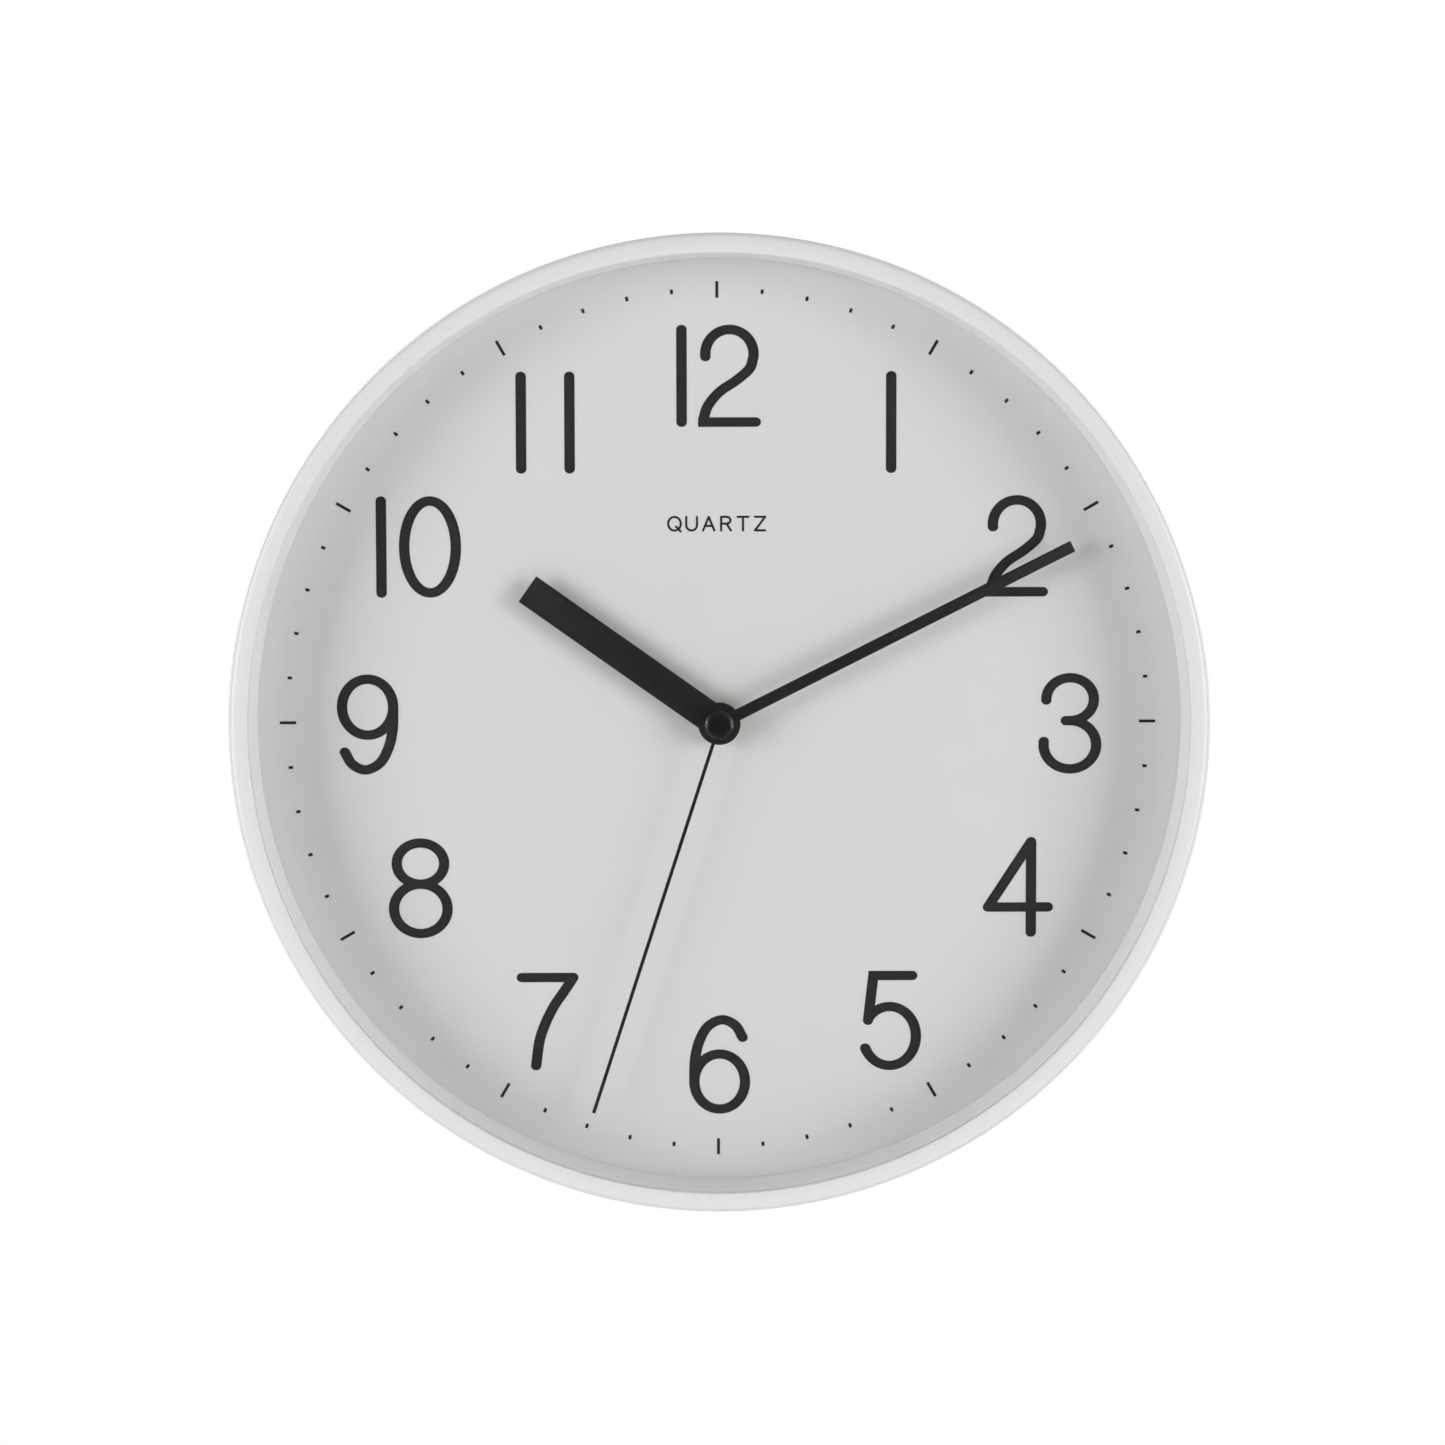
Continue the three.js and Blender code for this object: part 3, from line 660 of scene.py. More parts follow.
@dataclass(frozen=True)
class Lacquer(Finish):
    """Satin lacquer on stamped metal, with a fine peel and a few hairline rubs along the part."""

    roughness: float = 0.36

    def material(self) -> bpy.types.Material:
        """Builds the material.

        Returns:
            The material.
        """
        g = Graph(self.name)
        peel = g.noise(0.9, 2.0)
        rubs = g.ramp(g.noise(0.5, 5.0, (1.0, 1.0, 0.06)), (0.62, 0.0), (0.74, 1.0))
        colour = g.mix(rubs * 0.35, self.colour, shade(self.colour, 2.4))
        inputs = {
            "Base Color": colour,
            "Roughness": peel * 0.12 + (self.roughness - 0.06),
            "Normal": g.bump(peel, 0.012),
            "Specular IOR Level": 0.3,
            "Coat Weight": 0.08,
            "Coat Roughness": 0.2,
        }
        return g.finish(g.principled(inputs))


@dataclass(frozen=True)
class ClearPane(Finish):
    """Flat clear glass with the faintest clouding in its colour.

    Shadow rays and scattered light pass straight through it, so that what lies behind it is lit once."""

    def material(self) -> bpy.types.Material:
        """Builds the material.

        Returns:
            The material.
        """
        g = Graph(self.name)
        cloud = g.noise(40.0, 3.0)
        inputs = {
            "Base Color": g.mix(cloud, shade(self.colour, 0.985), self.colour),
            "Roughness": 0.0,
            "IOR": 1.45,
            "Transmission Weight": 1.0,
        }
        glass = g.principled(inputs)
        clear = g.node("ShaderNodeBsdfTransparent", {}, {"Color": (0.965, 0.965, 0.965)})[0]
        path = g.node("ShaderNodeLightPath", {}, {})
        for scattered in ("Is Diffuse Ray", "Is Shadow Ray"):
            glass = g.node("ShaderNodeMixShader", {}, {0: path[scattered], 1: glass, 2: clear})[0]
        return g.finish(glass)


@dataclass(frozen=True)
class Metal(Finish):
    """Bare or plated metal: fine tool lines, tarnish in blotches and dulled high spots."""

    roughness: float = 0.3
    lines: Colour = (1.0, 1.0, 1.0)
    line_size: float = 0.25
    line_depth: float = 0.006
    tarnish: float = 0.25

    def material(self) -> bpy.types.Material:
        """Builds the material.

        Returns:
            The material.
        """
        g = Graph(self.name)
        blotch = g.ramp(g.noise(3.5, 4.0), (0.45, 0.0), (0.75, 1.0))
        tool = g.noise(self.line_size, 2.0, self.lines)
        colour = g.mix(blotch, self.colour, shade(self.colour, 1 - self.tarnish))
        inputs = {
            "Base Color": colour,
            "Metallic": 1.0,
            "Roughness": blotch * 0.16 + tool * 0.1 + (self.roughness - 0.05),
            "Normal": g.bump(tool, self.line_depth),
        }
        return g.finish(g.principled(inputs))


@dataclass(frozen=True)
class WoundWire(Finish):
    """Enamelled wire wound on a bobbin that lies along X: fine ridges round it, one for each turn, with painted
    shade in the grooves between the turns and a painted highlight on each ridge.
    """

    pitch: float = 0.16

    def material(self) -> bpy.types.Material:
        """Builds the material.

        Returns:
            The material.
        """
        g = Graph(self.name)
        settings = {"wave_type": "BANDS", "bands_direction": "X"}
        scale = TAU / (20.0 * self.pitch * MM)
        waves = {"Vector": g.place, "Scale": scale, "Distortion": 0.4}
        turns = g.node("ShaderNodeTexWave", settings, waves)["Fac"]
        # Painted shade and highlight: the colour darkens to 0.45 in the grooves between turns and lightens to
        # 1.25 on the ridge tops
        colour = g.mix(turns, shade(self.colour, 0.45), shade(self.colour, 1.25))
        inputs = {
            "Base Color": colour,
            "Metallic": 0.85,
            "Roughness": turns * -0.12 + 0.42,
            "Normal": g.bump(turns, 0.05),
        }
        return g.finish(g.principled(inputs))


@dataclass(frozen=True)
class CellSleeve(Finish):
    """A dry cell: a glossy sleeve with a lighter band at the positive end, and bare steel ends.

    The band and the ends follow X, along which the cell lies."""

    steel: Colour
    band: Colour
    left: float
    right: float
    band_length: float = 15.0
    bare_right: float = 1.6
    bare_left: float = 0.6

    def material(self) -> bpy.types.Material:
        """Builds the material.

        Returns:
            The material.
        """
        g = Graph(self.name)
        along = g.node("ShaderNodeSeparateXYZ", {}, {0: g.place})["X"]

        def beyond(edge: float) -> Signal:
            """1 where X is past that edge, in millimetres."""
            return g.node("ShaderNodeMath", {"operation": "GREATER_THAN"}, {0: along, 1: edge * MM})[0]

        in_band = beyond(self.right - self.band_length)
        bare = beyond(self.right - self.bare_right) + (1.0 - beyond(self.left + self.bare_left))
        sleeve = g.mix(in_band, self.colour, self.band)
        worn = g.noise(5.0, 4.0)
        inputs = {
            "Base Color": g.mix(bare, sleeve, self.steel),
            "Metallic": bare * 0.95,
            "Roughness": worn * 0.14 + 0.24,
            "Normal": g.bump(g.noise(0.4, 3.0), 0.004),
            "Coat Weight": (1.0 - bare) * 0.4,
            "Coat Roughness": 0.1,
        }
        return g.finish(g.principled(inputs))


@dataclass(frozen=True)
class Laminate(Finish):
    """A circuit board: solder mask over copper tracks that show as slightly raised, lighter lanes."""

    lane_spacing: float = 2.6

    def material(self) -> bpy.types.Material:
        """Builds the material.

        Returns:
            The material.
        """
        g = Graph(self.name)
        spots = {"Vector": g.place, "Scale": 1.0 / (self.lane_spacing * MM)}
        cells = g.node("ShaderNodeTexVoronoi", {"feature": "DISTANCE_TO_EDGE"}, spots)["Distance"]
        lane = g.ramp(cells, (0.05, 1.0), (0.12, 0.0))
        colour = g.mix(lane, self.colour, shade(self.colour, 2.2))
        inputs = {"Base Color": colour, "Roughness": lane * -0.08 + 0.38, "Normal": g.bump(lane, 0.03)}
        return g.finish(g.principled(inputs))


# ---- The finishes of this clock ----


class Slot(Enum):
    """The record's material slots."""

    RIM = "rim_white"
    LENS = "lens"
    DIAL = "dial_white"
    BACK = "back_white"
    SCREW = "screw_steel"
    GEAR = "gear_white"
    AMBER = "gear_amber"
    MAGNET = "magnet"
    BRASS = "brass"
    MOVEMENT = "movement_black"
    STATOR = "stator_steel"
    WIRE = "copper_wire"
    BOARD = "board_green"
    CHIP = "chip_black"
    CAN = "can_steel"
    CELL = "cell_wrap"
    SPRING = "spring_steel"
    RUBBER = "rubber_black"
    HAND = "hand_black"
    CAP = "cap_black"


def plastic(
    name: str,
    colour: Colour,
    roughness: float,
    grain: tuple[float, float],
    mottle: float = 0.03,
) -> MouldedPlastic:
    """A moulded plastic, with its grain given as (size, depth) in millimetres."""
    return MouldedPlastic(name, colour, roughness, grain[0], grain[1], mottle)


def finishes() -> dict[Slot, Finish]:
    """The finish of each slot.

    Returns:
        A finish for every slot of the record.
    """
    cell = NodeBox.of("aa_battery")
    resin = (0.012, 0.012, 0.012)
    black_lacquer = (0.006, 0.006, 0.0065)
    cell_blue, cell_steel, cell_gold = (0.02, 0.07, 0.17), (0.58, 0.58, 0.6), (0.5, 0.42, 0.2)
    fine_grain, stamped = (0.3, 0.004), (0.1, 1.0, 1.0)
    return {
        Slot.RIM: plastic("rim_white_abs", (0.78, 0.78, 0.78), 0.38, (1.1, 0.006), 0.008),
        Slot.LENS: ClearPane("clear_flat_glass", (1.0, 1.0, 1.0)),
        Slot.DIAL: PrintedSheet("matt_white_dial", (0.78, 0.78, 0.78)),
        Slot.BACK: plastic("textured_white_back", (0.64, 0.64, 0.625), 0.55, (0.55, 0.03)),
        Slot.SCREW: Metal("zinc_plated_screw", (0.56, 0.57, 0.58), roughness=0.28),
        Slot.GEAR: plastic("natural_acetal", (0.8, 0.77, 0.68), 0.42, fine_grain),
        Slot.AMBER: plastic("amber_acetal", (0.56, 0.26, 0.05), 0.38, fine_grain),
        Slot.MAGNET: plastic("sintered_magnet", (0.05, 0.05, 0.055), 0.6, (0.2, 0.02)),
        Slot.BRASS: Metal("turned_brass", (0.66, 0.45, 0.14), roughness=0.26),
        Slot.MOVEMENT: plastic("movement_black_abs", (0.018, 0.018, 0.02), 0.5, (0.35, 0.03), 0.1),
        Slot.STATOR: Metal("stamped_iron", (0.42, 0.42, 0.43), roughness=0.4, lines=stamped),
        Slot.WIRE: WoundWire("enamelled_copper", (0.62, 0.24, 0.08)),
        Slot.BOARD: Laminate("green_laminate", (0.02, 0.12, 0.05)),
        Slot.CHIP: plastic("chip_resin", resin, 0.25, (0.8, 0.01)),
        Slot.CAN: Metal("drawn_can", (0.62, 0.62, 0.64), roughness=0.2, lines=stamped),
        Slot.CELL: CellSleeve("dry_cell", cell_blue, cell_steel, cell_gold, cell.left, cell.right),
        Slot.SPRING: Metal("nickel_strip", (0.6, 0.6, 0.58), roughness=0.25),
        Slot.RUBBER: plastic("black_rubber", resin, 0.85, (0.4, 0.02)),
        Slot.HAND: Lacquer("satin_black_hand", black_lacquer, roughness=0.42),
        Slot.CAP: Lacquer("satin_black_cap", black_lacquer, roughness=0.24),
    }


class Wardrobe:
    """Makes each slot's material once and puts it on pieces and CAD nodes."""

    def __init__(self) -> None:
        """Builds every material."""
        self.materials = {slot: finish.material() for slot, finish in finishes().items()}
        self.ink = Ink("printed_ink", (0.009, 0.009, 0.0095)).material()
        # Painted light: a lighter copy of the rim's white plastic for the inner wall, its tone set for how the
        # lamps light the wall
        self.wall_white_painted_light = plastic("painted_light_wall_white", (0.83, 0.83, 0.83), 0.55, (0.5, 0.01)).material()
        self.pad_print = Ink("white_pad_print", (0.5, 0.5, 0.49)).material()

    def dress(
        self,
        piece: bpy.types.Object,
        slot: Slot,
        material: bpy.types.Material | None = None,
    ) -> None:
        """Gives a new piece its slot's material, or another material in its stead.

        Args:
            piece: the piece.
            slot: the record's slot that it takes its finish from.
            material: another material than the slot's own.
        """
        piece.data.materials.clear()
        piece.data.materials.append(material or self.materials[slot])

    def dress_nodes(self) -> None:
        """Puts its slot's material on every CAD node."""
        for entry in frame["record"]["subparts"]:
            node = frame["nodes"][entry["node"]]
            material = self.materials[Slot(entry["material_slot"])]
            for place in node.material_slots:
                place.material = material


def settle(piece: bpy.types.Object, body: str, *nodes: str) -> None:
    """Puts a piece on its body, in the stead of the nodes that it stands for, and reports it.

    Args:
        piece: the piece.
        body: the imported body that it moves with.
        nodes: the CAD nodes that it replaces, if any.
    """
    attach(piece, body)
    if nodes:
        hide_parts(*nodes)
    LOG.info("%s rides on %s, %d faces", piece.name, body, len(piece.data.polygons))


# ---- Case ----


@dataclass
class Case:
    """The rim, the inner wall and the glass, as fine turned surfaces."""

    wardrobe: Wardrobe
    columns: int = 360
    screw_count: int = 6
    screw_circle: float = 146.8
    pocket_radius: float = 2.1
    face_width: float = 6.1
    side_thickness: float = 2.1
    draft: float = 0.8
    foot_radius: float = 143.4
    wall_outer: float = 144.4

    def build(self) -> None:
        """Makes the three pieces."""
        self._rim()
        self._inner_wall()
        self._glass()

    def _angles(self) -> Array:
        """Angles round the rim, packed closely across each screw pocket.

        Returns:
            The angles in radians, in rising order.
        """
        even = np.linspace(0, TAU, self.columns, endpoint=False)
        first = math.pi / self.screw_count
        pockets = first + np.arange(self.screw_count) * TAU / self.screw_count
        half = self.pocket_radius / self.screw_circle
        close = (pockets[:, None] + np.linspace(-half, half, 21)[None, :]).ravel() % TAU
        every = np.sort(np.concatenate([even, close]))
        return every[np.diff(every, prepend=-1.0) > 2e-4]

    def _pocket_reach(self, angle: Array) -> Array:
        """How far out the screw pockets reach at each angle: the far crossing of a ray from the axis
        with the pocket's circle, c cos d + sqrt(p^2 - c^2 sin^2 d), or 0 where it misses.

        Args:
            angle: the angles in radians.

        Returns:
            The reach at each angle.
        """
        step = TAU / self.screw_count
        off = angle % step - step / 2
        inside = self.pocket_radius**2 - (self.screw_circle * np.sin(off)) ** 2
        reach = self.screw_circle * np.cos(off) + np.sqrt(np.maximum(inside, 0))
        return np.where(inside >= 0, reach, 0)

    def _rim(self) -> None:
        """The rim: a turned profile with a soft outer edge and a flat lip, whose inner face steps out
        at the screw pockets behind the back plate."""
        box = NodeBox.of("front_rim")
        outer, front = box.radius, box.front
        lip = outer - self.face_width
        inner = outer - self.side_thickness
        foot = outer - self.draft
        plate_front = NodeBox.of("back_plate").front + 0.1
        profile = rounded_profile(
            [
                (inner - self.draft, 0.0, 0.25),
                (foot, 0.0, 0.3),
                (outer, front / 2, 0.0),
                (outer, front - 1.6, 1.3),
                (outer - 1.3, front - 0.35, 1.2),
                (lip + 1.6, front, 0.9),
                (lip, front - 0.15, 0.45),
                (lip, front - 2.0, 0.3),
                (inner, front - 2.0, 0.0),
                (inner, plate_front, 0.0),
                (inner - 0.04, plate_front - 0.02, 0.0),
            ],
            steps=8,
        )
        angle = self._angles()
        radius = np.repeat(profile[:, 0:1], len(angle), axis=1)
        height = np.repeat(profile[:, 1:2], len(angle), axis=1)
        behind = (height < plate_front) & (radius < inner + 0.01)
        reach = np.broadcast_to(self._pocket_reach(angle), radius.shape)
        radius = np.where(behind, np.maximum(radius, reach), radius)
        points = np.stack([radius * np.cos(angle), radius * np.sin(angle), height], axis=-1)
        quads = grid_quads(len(profile), len(angle), True, True).tolist()
        piece = make_mesh("rim", points, quads, 32)
        self.wardrobe.dress(piece, Slot.RIM)
        settle(piece, "case", "front_rim")

    def _inner_wall(self) -> None:
        """The inner wall between the dial and the glass, leaning outwards to the front, with a small
        shadow step at its foot."""
        box = NodeBox.of("spacer_ring")
        lip = NodeBox.of("front_rim").radius - self.face_width
        foot, outer = self.foot_radius, self.wall_outer
        profile = rounded_profile(
            [
                (foot + 0.35, box.back, 0.0),
                (outer, box.back, 0.2),
                (outer, box.front, 0.2),
                (lip + 0.02, box.front, 0.15),
                (foot, box.back + 0.6, 0.2),
                (foot + 0.35, box.back + 0.45, 0.0),
            ]
        )
        shell = Shell()
        shell.add(*turned_shell(profile, self.columns))
        piece = shell.piece("inner_wall")
        # Painted light: the wall wears the lighter copy of the rim's white, toned for how the lamps light it
        self.wardrobe.dress(piece, Slot.RIM, self.wardrobe.wall_white_painted_light)
        settle(piece, "case", "spacer_ring")

    def _glass(self) -> None:
        """The glass: a disc with a ground edge. Its faces meet the edge sharply, because a face whose
        shading leans into the edge would act as a lens."""
        box = NodeBox.of("glass_lens")
        edge = rounded_profile(
            [
                (0.0, box.back, 0.0),
                (box.radius, box.back, 0.3),
                (box.radius, box.front, 0.3),
                (0.0, box.front, 0.0),
            ]
        )
        shell = Shell()
        shell.add(*turned_solid(edge[1:-1], self.columns))
        piece = shell.piece("glass", 5)
        self.wardrobe.dress(piece, Slot.LENS)
        settle(piece, "case", "glass_lens")


# ---- Dial print ----


@dataclass
class DialPrint:
    """The hour numerals, the minute track and the word on the dial, as films of ink."""

    wardrobe: Wardrobe
    height: float = 31.4
    half_stroke: float = 1.48
    stretch: float = 1.1
    track_radius: float = 133.6
    film: float = 0.05
    shift: tuple[float, float] = (-0.5, 0.25)

    def __post_init__(self) -> None:
        """Finds the dial's face and the characters' half height on the centre line."""
        self.face = NodeBox.of("dial_plate").front
        self.top = self.height / 2 - self.half_stroke
        self.pens = [
            Pen(self.half_stroke, self.face - 0.02, self.face + self.film + 0.008 * layer, self.stretch)
            for layer in range(3)
        ]

    def build(self) -> None:
        """Prints the numerals, the track and the word."""
        numerals = Shell()
        for text, place in self._places().items():
            self._number(numerals, text, place)
        self._print(numerals, "hour_numerals")
        self._track()
        self._word()

    def _print(self, shell: Shell, name: str) -> None:
        """Turns a shell of ink into a piece on the dial.

        Args:
            shell: the ink.
            name: the piece's name.
        """
        piece = shell.piece(name)
        self.wardrobe.dress(piece, Slot.HAND, self.wardrobe.ink)
        settle(piece, "case")

    def _places(self) -> dict[str, tuple[float, float]]:
        """Where the middle of each number goes: seven columns and seven rows, not quite on a circle.

        Returns:
            A place for each number.
        """
        near, far, side = 53.8, 92.8, 109.6
        rows = {
            "top": 107.1,
            "high": 92.8,
            "upper": 54.5,
            "middle": -0.7,
            "lower": -51.9,
            "low": -93.9,
            "bottom": -107.6,
        }
        return {
            "12": (0.4, rows["top"]),
            "1": (near, rows["high"]),
            "2": (far, rows["upper"]),
            "3": (side, rows["middle"]),
            "4": (far + 0.8, rows["lower"]),
            "5": (near, rows["low"]),
            "6": (0.4, rows["bottom"]),
            "7": (-near + 0.6, rows["low"]),
            "8": (-far, rows["lower"]),
            "9": (-side + 0.8, rows["middle"]),
            "10": (-far + 0.2, rows["upper"]),
            "11": (-near + 0.7, rows["high"]),
        }

    def _number(self, shell: Shell, text: str, place: tuple[float, float]) -> None:
        """Lays one number down, its digits side by side about the place.

        Args:
            shell: the ink that it joins.
            text: the number.
            place: the middle of the whole number.
        """
        one, wide, gap = 1.7, 9.6, {"11": 11.6, "12": 3.5, "10": 3.8}.get(text, 0.0)
        halves = [one if digit == "1" else wide for digit in text]
        total = 2 * sum(halves) + gap * (len(text) - 1)
        x = place[0] + self.shift[0] - total / 2
        for digit, half in zip(text, halves):
            for pen, stroke in zip(self.pens, self._digit(digit)):
                pen.lay(shell, stroke, (x + half, place[1] + self.shift[1]))
            x += 2 * half + gap

    def _digit(self, digit: str) -> list[Stroke]:
        """The strokes of one digit, about its own middle.

        Args:
            digit: the digit.

        Returns:
            Its strokes, each for a pen of its own height.
        """
        top = self.top
        drawn = {
            "0": lambda: [Stroke.ring(8.0, top, 72)],
            "1": lambda: [Stroke.line((0, -top), (0, top))],
            "2": self._two,
            "3": self._three,
            "4": self._four,
            "5": self._five,
            "6": self._six,
            "7": self._seven,
            "8": self._eight,
            "9": lambda: [Stroke(-s.path, s.start, s.end, s.closed) for s in self._six()],
        }
        return drawn[digit]()

    def _two(self) -> list[Stroke]:
        """A hook over the top, a swept back leg and a foot with a square heel.

        Returns:
            Its strokes.
        """
        top = self.top
        hook = arc((0.0, top - 7.5), (7.45, 7.5), 186, -8, 30)
        bends = [(6.2, 2.2), (2.0, -1.5), (-2.8, -4.7), (-6.3, -8.6), (-7.75, -12.2), (-8.1, -top - 1.4)]
        leg = smooth_path([tuple(hook[-1]), *bends])
        foot = np.array([(-8.1 - self.half_stroke * self.stretch, -top), (8.1, -top)])
        return [Stroke(np.vstack([hook, leg[1:]]), end=End.FLAT), Stroke(foot, start=End.FLAT)]

    def _three(self) -> list[Stroke]:
        """Two bowls that meet in a short bar.

        Returns:
            Its strokes.
        """
        top, waist = self.top, 0.85
        upper = arc((0.0, (top + waist) / 2), (7.4, (top - waist) / 2), 182, -90, 34)
        bar = np.array([(-1.3, waist)])
        lower = arc((0.0, (waist - top) / 2), (8.2, (waist + top) / 2), 90, -188, 36)
        return [Stroke(np.vstack([upper, bar])), Stroke(lower)]

    def _four(self) -> list[Stroke]:
        """A slope, a crossbar and an upright, all with round ends.

        Returns:
            Its strokes.
        """
        top, bar, stem = self.top, -6.3, 4.1
        return [
            Stroke.line((stem, top), (-9.3, bar)),
            Stroke.line((-9.3, bar), (9.4, bar)),
            Stroke.line((stem, top), (stem, -top)),
        ]

    def _five(self) -> list[Stroke]:
        """A flag, a leaning back and an open bowl.

        Returns:
            Its strokes.
        """
        top = self.top
        shoulder, joint = (-5.2, top), (-6.9, 0.1)
        bowl = arc((-0.2, -4.9), (8.3, top - 4.9), 142, -156, 40)
        flag = np.array([(shoulder[0] - self.half_stroke * self.stretch, top), (6.9, top)])
        back = np.array([(shoulder[0] - 0.02, top + 0.3), joint])
        return [Stroke(flag, start=End.FLAT), Stroke(back, start=End.FLAT), Stroke(bowl)]

    def _six(self) -> list[Stroke]:
        """A closed bowl and a stem that sweeps up from its left side and over.

        Returns:
            Its strokes.
        """
        top = self.top
        bowl = arc((0.0, -5.5), (7.95, top - 5.5), 0, 360, 60)[:-1]
        rising = [(-7.95, -5.3), (-7.7, 1.6), (-6.3, 7.4), (-3.6, 12.0)]
        over = [(0.8, top - 0.15), (4.9, 12.3), (7.2, 8.5)]
        stem = smooth_path(rising + over)
        return [Stroke(bowl, closed=True), Stroke(stem)]

    def _seven(self) -> list[Stroke]:
        """A bar and a gently bowed leg.

        Returns:
            Its strokes.
        """
        top = self.top - 0.4
        bends = [(4.9, 9.3), (1.7, 4.6), (-1.0, -0.9), (-2.8, -6.3)]
        leg = smooth_path([(7.9, top), *bends, (-3.9, -self.top + 0.2)])
        return [Stroke.line((-8.2, top), (7.9, top)), Stroke(leg)]

    def _eight(self) -> list[Stroke]:
        """Two loops, the upper one smaller.

        Returns:
            Its strokes.
        """
        top, waist = self.top, 1.3
        upper = arc((0.0, (top + waist) / 2), (7.4, (top - waist) / 2), 0, 360, 54)[:-1]
        lower = arc((0.0, (waist - top) / 2), (8.35, (waist + top) / 2), 0, 360, 60)[:-1]
        return [Stroke(upper, closed=True), Stroke(lower, closed=True)]

    def _track(self) -> None:
        """The minute track: sixty short marks along rays of one circle, those at the hours longer."""
        shell = Shell()
        pen = Pen(0.46, self.face - 0.02, self.face + self.film)
        for minute in range(60):
            angle = math.radians(6 * minute)
            half = 2.55 if minute % 5 == 0 else 0.7
            out = np.array([math.sin(angle), math.cos(angle)])
            path = np.stack([out * (self.track_radius - half), out * (self.track_radius + half)])
            pen.lay(shell, Stroke(path, End.FLAT, End.FLAT), self.shift)
        self._print(shell, "minute_track")

    def _letters(self) -> dict[str, list[Stroke]]:
        """The strokes of the word's letters, each about its own middle.

        Returns:
            The strokes of each letter.
        """
        half, up = 1.65, 2.1
        left, right = -half + 0.1, half - 0.1
        spine = -half + 0.2
        cup = arc((0, -up + half), (half, half), 180, 360, 20)
        loop = arc((0.3, up / 2), (1.1, up / 2), 84, -90, 14)
        return {
            "Q": [Stroke.ring(half + 0.3, up, 40), Stroke.line((0.5, -0.9), (1.9, -up - 0.3))],
            "U": [Stroke(np.vstack([[(-half, up)], cup, [(half, up)]]))],
            "A": [
                Stroke.line((-half - 0.1, -up), (0, up)),
                Stroke.line((0, up), (half + 0.1, -up)),
                Stroke.line((-1.1, -0.7), (1.1, -0.7)),
            ],
            "R": [
                Stroke.line((spine, -up), (spine, up)),
                Stroke(np.vstack([[(spine, up), (0.3, up)], loop, [(spine, 0.0)]])),
                Stroke.line((0.2, 0.0), (right, -up)),
            ],
            "T": [Stroke.line((-half, up), (half, up)), Stroke.line((0, up), (0, -up))],
            "Z": [
                Stroke.line((left, up), (right, up)),
                Stroke.line((right, up), (left, -up)),
                Stroke.line((left, -up), (right, -up)),
            ],
        }

    def _word(self) -> None:
        """The word QUARTZ under the 12, in fine strokes."""
        letters = self._letters()
        shell = Shell()
        back, front = self.face - 0.02, self.face + self.film
        pens = [Pen(0.34, back, front + 0.006 * layer) for layer in range(3)]
        spacing, height, word = 5.3, 61.8, "QUARTZ"
        for i, letter in enumerate(word):
            x = (i - (len(word) - 1) / 2) * spacing
            for pen, stroke in zip(pens, letters[letter]):
                pen.lay(shell, stroke, (x + self.shift[0], height))
        self._print(shell, "dial_word")


# ---- Hands ----


@dataclass(frozen=True)
class HandShape:
    """A straight hand with a round boss: its flat sizes, hole and edge rounding.

    The sleeve is the radius of the collet behind it, or 0 where it has none."""

    piece: str
    node: str
    body: str
    length: float
    width: float
    boss: float
    hole: float
    clockwise: float
    thickness: float
    sleeve: float = 0.0
    edge: float = 0.12

    @property
    def front(self) -> float:
        """The height of its front face."""
        return NodeBox.of(self.node).front

    @property
    def back(self) -> float:
        """The height of its back face."""
        return self.front - self.thickness

    def outline(self, inset: float) -> Array:
        """The outline drawn inwards by the inset: round the boss from one side of the bar to the other,
        then up the bar and across its square tip with tiny corner rounds.

        Args:
            inset: how far inside the full size it lies.

        Returns:
            The outline's points, the same number for every inset, pointing to 12.
        """
        half, boss, tip = self.width / 2 - inset, self.boss - inset, self.length - inset
        leave = math.degrees(math.asin(half / boss))
        boss_arc = arc((0, 0), (boss, boss), 90 + leave, 450 - leave, 48)
        corner = min(0.25, half * 0.5)
        foot = boss * math.cos(math.radians(leave))
        rise = np.linspace(foot, tip - corner, 14)[1:]
        right = np.column_stack([np.full(len(rise), half), rise])
        turn_right = arc((half - corner, tip - corner), (corner, corner), 0, 90, 4)[1:]
        turn_left = arc((corner - half, tip - corner), (corner, corner), 90, 180, 4)[:-1]
        left = np.column_stack([np.full(len(rise), -half), rise[::-1]])
        return np.vstack([boss_arc, right, turn_right, turn_left, left])

    def shell(self) -> tuple[Array, list[list[int]]]:
        """The hand as rings of points: hole, top face, rounded edge, side, bottom face, hole again.
        Each hole point lies on the ray to its outline point, so no two faces cross.

        Returns:
            The rings and their faces.
        """
        full, small = self.outline(0.0), self.outline(self.edge)
        ray = small / np.linalg.norm(small, axis=1, keepdims=True) * self.hole
        soft = self.outline(self.edge * 0.3)
        step = self.edge * 0.3
        front, back = self.front, self.back
        rings = [
            (ray, front),
            (small, front),
            (soft, front - step),
            (full, front - self.edge),
            (full, back + self.edge),
            (soft, back + step),
            (small, back),
            (ray, back),
        ]
        turn = math.radians(-self.clockwise)
        cos, sin = math.cos(turn), math.sin(turn)
        rows = []
        for ring, height in rings:
            turned = ring @ np.array([[cos, sin], [-sin, cos]])
            rows.append(np.column_stack([turned, np.full(len(ring), height)]))
        return np.stack(rows), grid_quads(len(rings), len(full), True, True).tolist()


